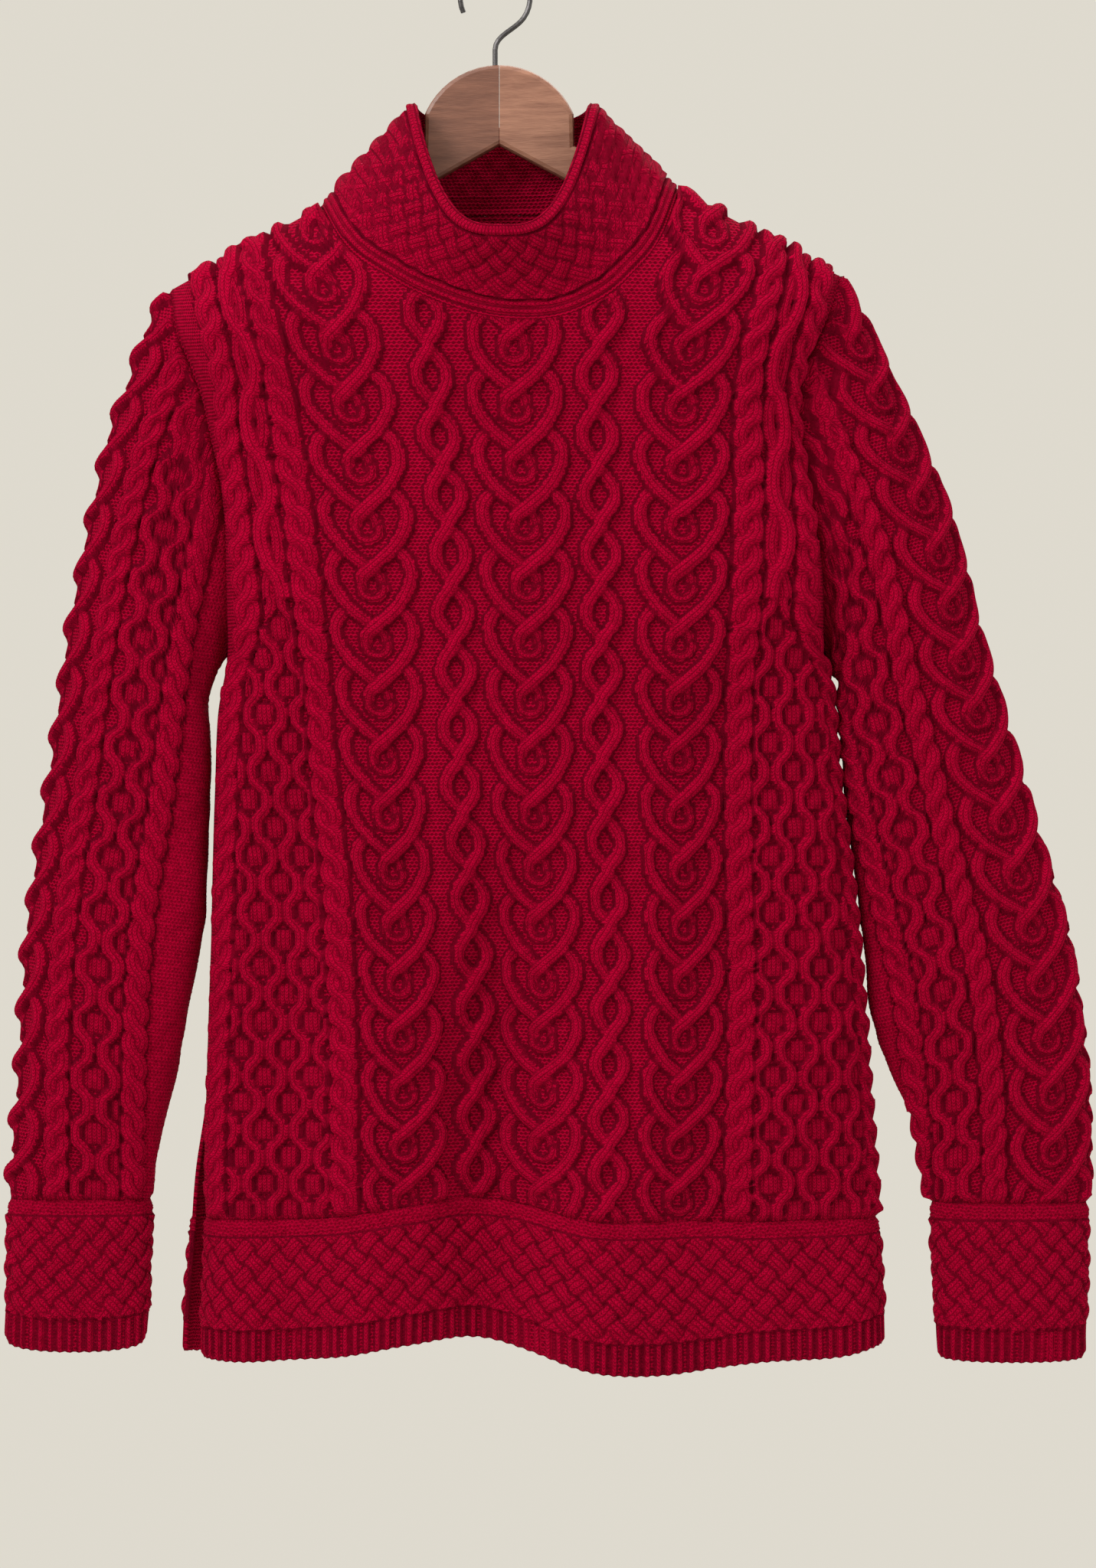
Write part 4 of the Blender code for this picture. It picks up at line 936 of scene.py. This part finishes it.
def knitted_wall(name, form, normals, relief, material, closed=False, row_step=5, column_step=6,
                 inside_rise=0.0):
    """A thin closed wall: its outside carries the relief, its inside is plain, and rims join them."""
    from_edge = edge_distance(form, closed)
    height = relief.height * smooth_step(from_edge / SEAM_FADE)
    bulge = UNEVEN_RISE * uneven(form[..., 0] + form[..., 1], form[..., 2])
    bulge = bulge * smooth_step(from_edge / BULGE_FADE)
    if closed:
        height[:, -1] = height[:, 0]
        bulge[:, -1] = bulge[:, 0]
    outside = form + normals * (height - PURL_GROUND + bulge)[..., None]
    inside = form - normals * (PLAIN_INSIDE - inside_rise * height)[..., None]
    # crest is the relief's height over a strand's rise, kept for the wool's painted shade: low ground is
    # coloured darker, high strands lighter.
    crest = height / STRAND_RISE
    stitches = np.stack((relief.across, relief.along, relief.knit, crest), axis=-1)
    flat = np.zeros(height.shape)
    plain = np.stack((relief.ground_across, relief.ground_along, flat, flat + INSIDE_PAINTED_LIGHT), axis=-1)
    bm = bmesh.new()
    bm.verts.layers.float_vector.new("place")
    bm.verts.layers.float.new("knit")
    bm.verts.layers.float.new("crest")
    outer = add_grid(bm, outside, stitches)
    line = line_tube if closed else line_panel
    line(bm, outer, inside, plain, inner_steps(len(form), row_step), column_step)
    finish_piece(name, bm, material)


def body_grid(face):
    """Form points, lane coordinates and heights of a whole body panel."""
    count = round((YOKE_ROWS_FROM - HEM_SEAM_Z) / BODY_ROW)
    low = np.linspace(HEM_SEAM_Z, YOKE_ROWS_FROM, count)
    for fixed in (VENT_Z, ARMPIT_Z):
        low[np.argmin(np.abs(low - fixed))] = fixed
    bottom = line_under(HEM_SEAM, face, COLUMNS, HEM_SEAM_Z)
    low = low[:, None] + np.zeros(len(COLUMNS))
    stretch = (HEM_ROWS_FROM - bottom) / (HEM_ROWS_FROM - HEM_SEAM_Z)
    low = np.where(low < HEM_ROWS_FROM, HEM_ROWS_FROM - (HEM_ROWS_FROM - low) * stretch, low)
    rise = np.sin(np.linspace(0, math.pi / 2, YOKE_ROWS + 1))[1:, None]
    even = np.linspace(0, 1, YOKE_ROWS + 1)[1:, None]
    top = panel_top(face, COLUMNS)
    high = YOKE_ROWS_FROM + (top - YOKE_ROWS_FROM) * (YOKE_CROWDING * rise + (1 - YOKE_CROWDING) * even)
    z = np.vstack((low, high))
    u = np.broadcast_to(COLUMNS, z.shape)
    return body_form(face, u, z), u, z


def side_directions(face, points, z, normals):
    """Gives the borders the directions that they share with their neighbours. Returns the neck's columns."""
    for column, side in ((0, -1), (-1, 1)):
        for i, height in enumerate(z[:, column]):
            if height < VENT_Z - MM:
                continue
            if height <= ARMPIT_Z - 0.1 * MM:
                normals[i, column] = (side, 0, 0)
            else:
                normals[i, column] = armhole_direction(face, side, height, z[-1, column])
    neck = [k for k, u in enumerate(COLUMNS) if NECK_COLUMNS[0] <= u <= NECK_COLUMNS[1]]
    sideways, up = SHOULDER_LEAN
    for k in range(1, len(COLUMNS) - 1):
        side = -1 if points[-1, k, 0] < 0 else 1
        normals[-1, k] = unit(np.array((sideways * side, 0, up)))
    for k, direction in zip(neck, neck_directions(face, points[-1, neck])):
        normals[-1, k] = direction
    return neck


def make_panel(face, material):
    """Front or back panel. Returns its grid for what is sewn to it."""
    points, u, z = body_grid(face)
    normals = grid_normals(points, False, BODY_MIDDLE)
    neck = side_directions(face, points, z, normals)
    form = part_seams(points, closed=False)
    knitted_wall(face + "_panel", form, normals, body_relief(u, z), material)
    return {"points": points, "normals": normals, "z": z, "neck": neck}


def make_hem(face, material):
    """Hem band of the front or back."""
    top = line_under(HEM_SEAM, face, HEM_COLUMNS, HEM_SEAM_Z)
    bottom = line_under(HEM_EDGE, face, HEM_COLUMNS, HEM_SEAM_Z)
    cloth = HEM_COLUMNS * HEM_CLOTH_SHARE
    bottom = bottom - RIB_EDGE * rib_wave(cloth)
    share = np.linspace(1, 0, HEM_ROWS + 1)[:, None]
    z = bottom + (top - bottom) * share
    points = body_form(face, np.broadcast_to(HEM_COLUMNS, z.shape), z)[::-1]
    z = z[::-1]
    normals = grid_normals(points, False, HEM_MIDDLE)
    relief = band_relief(np.broadcast_to(cloth, z.shape), top - z, z - bottom, HEM_RIBS)
    knitted_wall(face + "_hem_band", part_seams(points, closed=False), normals, relief, material)


def collar_points(body):
    """Form points of the collar from the neck seam up to its rim, and the outward directions on the seam."""
    front, back = (body[face] for face in ("front", "back"))
    base_front = front["points"][-1, front["neck"]]
    base_back = back["points"][-1, back["neck"]][::-1]
    base = np.concatenate((base_front, base_back[1:]))
    directions = np.concatenate((front["normals"][-1, front["neck"]],
                                 back["normals"][-1, back["neck"]][::-1][1:]))
    angle = math.pi * np.concatenate((1 + arc_share(base_front), arc_share(base_back)[1:]))
    across, deep = np.cos(angle), np.abs(np.sin(angle))
    is_front = np.arange(len(base)) < len(base_front)
    rim = np.stack((
        RIM_X + RIM_HALF_WIDTH * across,
        np.where(is_front, RIM_FRONT_Y * deep**RIM_ROUND, RIM_BACK_Y * deep),
        np.where(is_front, RIM_FRONT_Z + (RIM_PEAK_Z - RIM_FRONT_Z) * np.abs(across) ** RIM_SWEEP,
                 RIM_PEAK_Z + (RIM_BACK_Z - RIM_PEAK_Z) * deep),
    ), axis=-1)
    t = np.linspace(0, 1, COLLAR_ROWS + 1)[:, None]
    points = base + (rim - base) * t[..., None]
    points[..., 1] += (rim - base)[:, 1] * (smooth_step(t) - t) * np.where(is_front, 1, 0.5)
    points[..., 1] += COLLAR_HOLLOW * np.sin(math.pi * t) * np.where(is_front, deep**2, 0)
    points[:, -1] = points[:, 0]
    return points, directions


def make_collar(body, material):
    """Funnel collar: rises from the neck seam and leans forward to its rim."""
    points, directions = collar_points(body)
    normals = grid_normals(points, True, COLLAR_MIDDLE)
    normals[0] = directions
    normals[0, -1] = normals[0, 0]
    middle = points[COLLAR_ROWS // 2]
    blocks = round(lengths(middle)[-1] / COLLAR_BLOCK)
    up = lengths(points)
    x = np.broadcast_to(arc_share(middle) * blocks * COLLAR_BLOCK, up.shape)
    below_rim = up[-1] - up
    relief = Relief(x, up)
    woven = (up > COLLAR_BASE) & (below_rim > BEAD_ZONE)
    lay_weave(relief, x, up - COLLAR_BASE, *COLLAR_WEAVE, woven)
    for place in COLLAR_LINES:
        lay_line(relief, x, up, place, *COLLAR_LINE_STRAND, up < COLLAR_BASE)
    half_width, rise = BEAD_STRAND
    bead = rise * dome(below_rim - BEAD_PLACE, half_width)
    relief.lay(bead, x / WALE, below_rim / ROW, 1.0, below_rim < BEAD_ZONE)
    knitted_wall("funnel_collar", points, normals, relief, material,
                 closed=True, row_step=1, column_step=1, inside_rise=COLLAR_LINING_SHARE)


def armhole_loop(side, body):
    """The armhole seam from the shoulder tip down the front and up the back."""
    column = 0 if side == "left" else -1
    rings = []
    for face in ("front", "back"):
        z = body[face]["z"][:, column]
        rows = [i for i in range(len(z)) if z[i] > ARMPIT_Z - 0.05 * MM][::-1]
        rings.append((body[face]["points"][rows, column], body[face]["normals"][rows, column]))
    (front, front_out), (back, back_out) = rings
    points = np.concatenate((front, back[::-1][1:]))
    directions = np.concatenate((front_out, back_out[::-1][1:]))
    return points, directions, arc_share(points)


def sleeve_arc(u, girth):
    """Cloth between a sleeve's heart and lane coordinate u before the ring shrinks it, and the shrinking."""
    a = np.abs(u)
    shrink = min(1.0, girth / 2 / (SLEEVE_CABLES * SLEEVE_PLAIN_SHARE))
    beyond = np.clip(a - SLEEVE_CABLES, 0, None) / (SLEEVE_HALF_GIRTH - SLEEVE_CABLES)
    arc = np.minimum(a, SLEEVE_CABLES) + beyond * (girth / 2 / shrink - SLEEVE_CABLES)
    return np.sign(u) * arc, shrink


def sleeve_points(side, row, u):
    """Points of a sleeve ring at lane coordinates u, their places round it and their cloth arcs."""
    ring, length = sleeve_ring(row)
    arc, shrink = sleeve_arc(u, length[-1])
    places = ((SLEEVE_TURN[side] + arc * shrink) / length[-1]) % 1
    return read_line(places * length[-1], length, ring), places, arc


def sleeve_row(side, share):
    """The sleeve table at a share of its length, 0 at the armhole and 1 at the cuff seam."""
    table = SLEEVES[side]
    middles = (table[:, 0:2] + table[:, 2:4]) / 2
    at = arc_share(middles)
    return np.array([curve_through(np.array(share), at, table[:, k]) for k in range(table.shape[1])])


def sleeve_columns():
    """Lane coordinates of a sleeve's columns, closer together over its plain cloth."""
    plain = np.linspace(SLEEVE_CABLES, SLEEVE_HALF_GIRTH, 38)[1:]
    return np.concatenate((-plain[::-1], np.linspace(-SLEEVE_CABLES, SLEEVE_CABLES, 95), plain))


def make_sleeve(side, body, material):
    """A sleeve from the armhole seam to the cuff seam, and its cuff band."""
    table = SLEEVES[side]
    length = lengths((table[:, 0:2] + table[:, 2:4]) / 2)[-1]
    u = sleeve_columns()
    rows = np.linspace(0, 1, round(length / SLEEVE_ROW) + 1)
    rings = [sleeve_points(side, sleeve_row(side, share), u) for share in rows]
    points = np.array([ring[0] for ring in rings])
    points[:, -1] = points[:, 0]
    normals = grid_normals(points, True, points.mean(axis=1, keepdims=True))
    loop, directions, places = armhole_loop(side, body)
    at = rings[0][1]
    seam = read_line(at, places, loop)
    seam_out = unit(read_line(at, places, directions))
    seam[-1], seam_out[-1] = seam[0], seam_out[0]
    t = np.linspace(0, 1, ARMHOLE_ROWS + 1)[:-1, None, None]
    cap = seam + (points[0] - seam) * t
    cap_out = unit(seam_out * (1 - t) + normals[0] * t)
    points = np.concatenate((cap, points))
    normals = np.concatenate((cap_out, normals))
    relief = sleeve_relief(*sleeve_cloth(points, u, side))
    knitted_wall(side + "_sleeve", part_seams(points, closed=True), normals, relief, material, closed=True)
    make_cuff(side, u, points[-1], normals[-1], material)


def sleeve_cloth(points, u, side):
    """Cloth across the sleeve from its heart column, and along its length, at every grid point. And the
    sense in which it runs as seen from outside."""
    length = unit(points[-1].mean(axis=0) - points[0].mean(axis=0))
    down = points @ length
    levels = np.linspace(down.min(), down.max(), 400)
    lanes = [read_line(levels, down[:, j], points[:, j]) for j in range(len(u))]
    across = lengths(np.stack(lanes, axis=1), axis=1)
    across -= across[:, [np.argmin(np.abs(u))]]
    x = np.stack([np.interp(down[:, j], levels, across[:, j]) for j in range(len(u))], axis=1)
    return x, -down, 1 if side == "left" else -1


def make_cuff(side, u, seam, directions, material):
    """Cuff band below the sleeve seam."""
    end = np.array(CUFF_END[side])
    start = SLEEVES[side][-1]
    shares = np.linspace(0, 1, CUFF_ROWS + 1)[:, None]
    rings = [sleeve_points(side, start + (end - start) * share, u) for share in shares]
    points = np.array([ring[0] for ring in rings])
    x = np.array([ring[2] for ring in rings])
    points[..., 2] += CUFF_DIP[side] * shares**2 * points[..., 1] / CUFF_HALF_DEPTH
    points[..., 2] -= RIB_EDGE * shares**8 * rib_wave(x)
    points[:, -1] = points[:, 0]
    points[0] = seam
    normals = grid_normals(points, True, points.mean(axis=1, keepdims=True))
    normals[0] = directions
    down = lengths(points)
    relief = band_relief(x, down, down[-1] - down, CUFF_RIBS)
    knitted_wall(side + "_cuff_band", part_seams(points, closed=True), normals, relief, material, closed=True)


class Value:
    """A node's output that Python's own arithmetic can be written on."""

    def __init__(self, graph, socket):
        self.graph = graph
        self.socket = socket

    def math(self, operation, *others):
        return self.graph.node("ShaderNodeMath", {"operation": operation}, dict(enumerate((self, *others))))

    def __add__(self, other):
        return self.math("ADD", other)

    __radd__ = __add__

    def __mul__(self, other):
        return self.math("MULTIPLY", other)

    __rmul__ = __mul__

    def __sub__(self, other):
        return self.math("SUBTRACT", other)

    def __rsub__(self, other):
        return self.math("MULTIPLY", -1.0) + other

    def __pow__(self, other):
        return self.math("POWER", other)

    def __abs__(self):
        return self.math("ABSOLUTE")


class Graph:
    """The nodes of one material."""

    def __init__(self, name):
        self.material = bpy.data.materials.new(name)
        self.material.use_nodes = True
        self.tree = self.material.node_tree
        self.shader = self.tree.nodes["Principled BSDF"]

    def node(self, kind, settings=None, inputs=None, output=0):
        """Adds a node and returns one of its outputs."""
        node = self.tree.nodes.new(kind)
        for name, value in (settings or {}).items():
            setattr(node, name, value)
        for key, value in (inputs or {}).items():
            self.set(node.inputs[key], value)
        return Value(self, node.outputs[output])

    def set(self, slot, value):
        """Links a value to a socket, or sets its number."""
        if isinstance(value, Value):
            self.tree.links.new(value.socket, slot)
        else:
            slot.default_value = value

    def mix(self, factor, low, high):
        """Mixes two colours."""
        node = self.tree.nodes.new("ShaderNodeMix")
        node.data_type = "RGBA"
        for index, value in ((0, factor), (6, low), (7, high)):
            self.set(node.inputs[index], value)
        return Value(self, node.outputs[2])

    def noise(self, place, scale, detail=2.0, roughness=0.5):
        """Noise from 0 to 1 at a place."""
        return self.node("ShaderNodeTexNoise", {}, {"Vector": place, "Scale": scale, "Detail": detail,
                                                    "Roughness": roughness})

    def place(self):
        """Object coordinates."""
        return self.node("ShaderNodeTexCoord", output=3)

    def finish(self, color, roughness, bump, distance):
        """Links the varying values to the shader."""
        self.set(self.shader.inputs["Base Color"], color)
        self.set(self.shader.inputs["Roughness"], roughness)
        normal = self.node("ShaderNodeBump", {}, {"Height": bump, "Distance": distance})
        self.set(self.shader.inputs["Normal"], normal)
        return self.material


def make_wool():
    """Red worsted wool: knit stitches on the strands, purl bumps on the ground, loose fibres, and painted
    shade in the hollows.
    """
    graph = Graph("red aran wool")
    places = graph.node("ShaderNodeUVMap", {"uv_map": "stitches"})
    across = graph.node("ShaderNodeSeparateXYZ", {}, {"Vector": places}, 0)
    along = graph.node("ShaderNodeSeparateXYZ", {}, {"Vector": places}, 1)
    knit = graph.node("ShaderNodeAttribute", {"attribute_name": "knit"}, {}, 2)
    crest = graph.node("ShaderNodeAttribute", {"attribute_name": "crest"}, {}, 2)
    place = graph.place()
    wobble = graph.noise(place, 260.0, 1.0) - 0.5
    leg = abs((across + 0.5 + wobble * 0.25).math("FRACT") - 0.5) * 2.0
    tear = abs(((along - leg * 0.62 + wobble * 0.3) * math.pi).math("SINE"))
    knit_height = (1.0 - leg**3.0) * (0.35 + 0.65 * tear**0.7) - 0.22 * (1.0 - leg) ** 5.0
    swing = ((across + 0.5 * along.math("FLOOR")) * (2 * math.pi)).math("COSINE") * 0.17
    purl_height = abs(((along + swing + wobble * 0.3) * math.pi).math("SINE")) ** 0.8
    stitch = purl_height * (1.0 - knit) + knit_height * knit
    fibres = graph.noise(place, 1400.0, 3.0, 0.6)
    flecks = graph.noise(place, 340.0, 3.0, 0.75)
    height = stitch + fibres * 0.35 + flecks * 0.5
    patches = graph.noise(place, 9.0, 2.0)
    mottle = (fibres - 0.5) * 0.5 + (flecks - 0.5) * 1.8 + (patches - 0.5) * 0.2
    # Painted shade: stitch and crest colour the hollows between stitches and the ground between cables darker
    # and the tops lighter; mottle is the yarn's own uneven tone.
    light = stitch * 0.65 + crest * 0.20 + mottle
    light = light.math("MINIMUM", 1.0).math("MAXIMUM", 0.0)
    color = graph.mix(light, WOOL_DARK, WOOL_BRIGHT)
    graph.shader.inputs["Sheen Weight"].default_value = 0.10
    graph.shader.inputs["Sheen Roughness"].default_value = 0.45
    graph.shader.inputs["Sheen Tint"].default_value = WOOL_SHEEN
    graph.shader.inputs["Specular IOR Level"].default_value = 0.03
    return graph.finish(color, 0.9, height, WOOL_BUMP)


def make_wood(name, dark, light):
    """Stained wood with its grain along the arm."""
    graph = Graph(name)
    place = graph.place()
    stretched = graph.node("ShaderNodeVectorMath", {"operation": "MULTIPLY"}, {0: place, 1: GRAIN_STRETCH})
    grain = graph.noise(stretched, 2.2, 4.0, 0.6)
    pores = graph.noise(stretched, 14.0, 2.0, 0.5)
    tone = grain * 0.8 + pores * 0.2
    color = graph.mix((tone - 0.3) * 2.2, dark, light)
    graph.shader.inputs["Coat Weight"].default_value = 0.25
    graph.shader.inputs["Coat Roughness"].default_value = 0.3
    return graph.finish(color, 0.38 + 0.2 * pores, grain + pores * 0.6, 0.25 * MM)


def make_steel():
    """Dark plated wire with fine drawing marks."""
    graph = Graph("dark plated steel")
    graph.shader.inputs["Metallic"].default_value = 1.0
    place = graph.place()
    marks = graph.noise(place, 900.0, 2.0)
    color = graph.mix(marks, (0.03, 0.03, 0.033, 1), (0.09, 0.085, 0.085, 1))
    return graph.finish(color, 0.26 + 0.2 * marks, marks, 0.05 * MM)


def dress_hanger():
    """Gives the CAD hanger and hook their finishes."""
    finishes = {
        # The left half is coloured darker than the right: partly its own darker stain, partly painted shade
        # for the light that falls less on it.
        "hanger_left": make_wood("darker stain with painted shade", (0.12, 0.040, 0.022, 1), (0.26, 0.105, 0.062, 1)),
        "hanger_right": make_wood("lighter stain with painted light", (0.20, 0.078, 0.046, 1), (0.42, 0.20, 0.125, 1)),
        "hook": make_steel(),
    }
    for node, material in finishes.items():
        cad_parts[node].material_slots[0].material = material


def make_floor():
    """A pale floor, wide enough to fill every view."""
    bm = bmesh.new()
    bmesh.ops.create_circle(bm, cap_ends=True, segments=96, radius=FLOOR_RADIUS)
    bmesh.ops.translate(bm, verts=bm.verts, vec=(0, 0, FLOOR_Z))
    mesh = bpy.data.meshes.new("floor")
    bm.to_mesh(mesh)
    bm.free()
    graph = Graph("pale floor")
    place = graph.place()
    cloud = graph.noise(place, 1.5, 2.0)
    color = graph.mix(cloud, (0.80, 0.775, 0.72, 1), (0.83, 0.80, 0.745, 1))
    mesh.materials.append(graph.finish(color, 0.8, cloud, 0.2 * MM))
    floor = bpy.data.objects.new("floor", mesh)
    bpy.context.scene.collection.objects.link(floor)


def add_light(name, place, size, power, color):
    """A soft square light that faces the sweater."""
    data = bpy.data.lights.new(name, "AREA")
    data.size = size
    data.energy = power
    data.color = color
    light = bpy.data.objects.new(name, data)
    light.location = place
    aim = Vector(LIGHT_AIM) - Vector(place)
    light.rotation_euler = aim.to_track_quat("-Z", "Y").to_euler()
    bpy.context.scene.collection.objects.link(light)


def light_scene():
    """Soft studio light, strongest from the upper left."""
    world = bpy.data.worlds.new("pale studio")
    world.use_nodes = True
    background = world.node_tree.nodes["Background"]
    background.inputs["Color"].default_value = BACKDROP
    background.inputs["Strength"].default_value = 1.0
    bpy.context.scene.world = world
    add_light("key", (-1.5, -1.7, 0.9), 1.0, 42, (1.0, 0.97, 0.94))
    add_light("fill", (1.6, -1.9, -0.2), 1.6, 10, (1.0, 0.98, 0.97))
    add_light("top", (0.0, -0.2, 1.4), 1.0, 14, (1.0, 0.98, 0.96))
    add_light("back", (0.4, 1.8, 0.5), 1.4, 16, (1.0, 0.98, 0.96))


def add_camera():
    """The photograph's view: level with the sweater's middle and square to it."""
    data = bpy.data.cameras.new("camera")
    data.sensor_fit = "HORIZONTAL"
    data.sensor_width = 36
    data.lens = 36 * CAMERA_DISTANCE / FRAME_WIDTH
    camera = bpy.data.objects.new("camera", data)
    camera.location = (CAMERA_X, SCALE_PLANE_Y - CAMERA_DISTANCE, CAMERA_Z)
    camera.rotation_euler = (math.pi / 2, 0, 0)
    bpy.context.scene.collection.objects.link(camera)
    bpy.context.scene.camera = camera


def declare_pieces():
    """Attaches each knitted piece to the root body and hides the CAD part that it replaces."""
    hanger = ["hanger_left", "hanger_right"]
    cloth = (
        ("front_panel", "front", (0.50, 0.60), 0.27, hanger),
        ("back_panel", "back", (0.50, 0.62), 0.28, hanger),
        ("left_sleeve", "sleeve_left", (0.30, 0.58), 0.125, ["front_panel", "back_panel"]),
        ("right_sleeve", "sleeve_right", (0.30, 0.58), 0.125, ["front_panel", "back_panel"]),
        ("funnel_collar", "collar", (0.46, 0.075), 0.0275, ["front_panel", "back_panel"]),
        ("front_hem_band", "hem_front", (0.47, 0.092), 0.0425, ["front_panel"]),
        ("back_hem_band", "hem_back", (0.47, 0.092), 0.0425, ["back_panel"]),
        ("left_cuff_band", "cuff_left", (0.21, 0.09), 0.0185, ["left_sleeve"]),
        ("right_cuff_band", "cuff_right", (0.24, 0.098), 0.0225, ["right_sleeve"]),
    )
    for name, node, flat, area, carrier in cloth:
        piece = bpy.data.objects[name]
        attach(piece, "root")
        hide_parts(node)


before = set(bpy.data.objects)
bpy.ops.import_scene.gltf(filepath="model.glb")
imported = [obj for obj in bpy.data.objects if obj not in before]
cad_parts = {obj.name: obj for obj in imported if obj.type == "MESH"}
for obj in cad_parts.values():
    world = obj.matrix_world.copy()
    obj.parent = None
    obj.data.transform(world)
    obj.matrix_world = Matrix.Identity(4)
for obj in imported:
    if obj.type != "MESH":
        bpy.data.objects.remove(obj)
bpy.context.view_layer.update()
bpy.context.scene.view_settings.view_transform = "Standard"
wool = make_wool()
panels = {face: make_panel(face, wool) for face in ("front", "back")}
for face in ("front", "back"):
    make_hem(face, wool)
make_collar(panels, wool)
for side in ("left", "right"):
    make_sleeve(side, panels, wool)
dress_hanger()
make_floor()
light_scene()
add_camera()
declare_pieces()
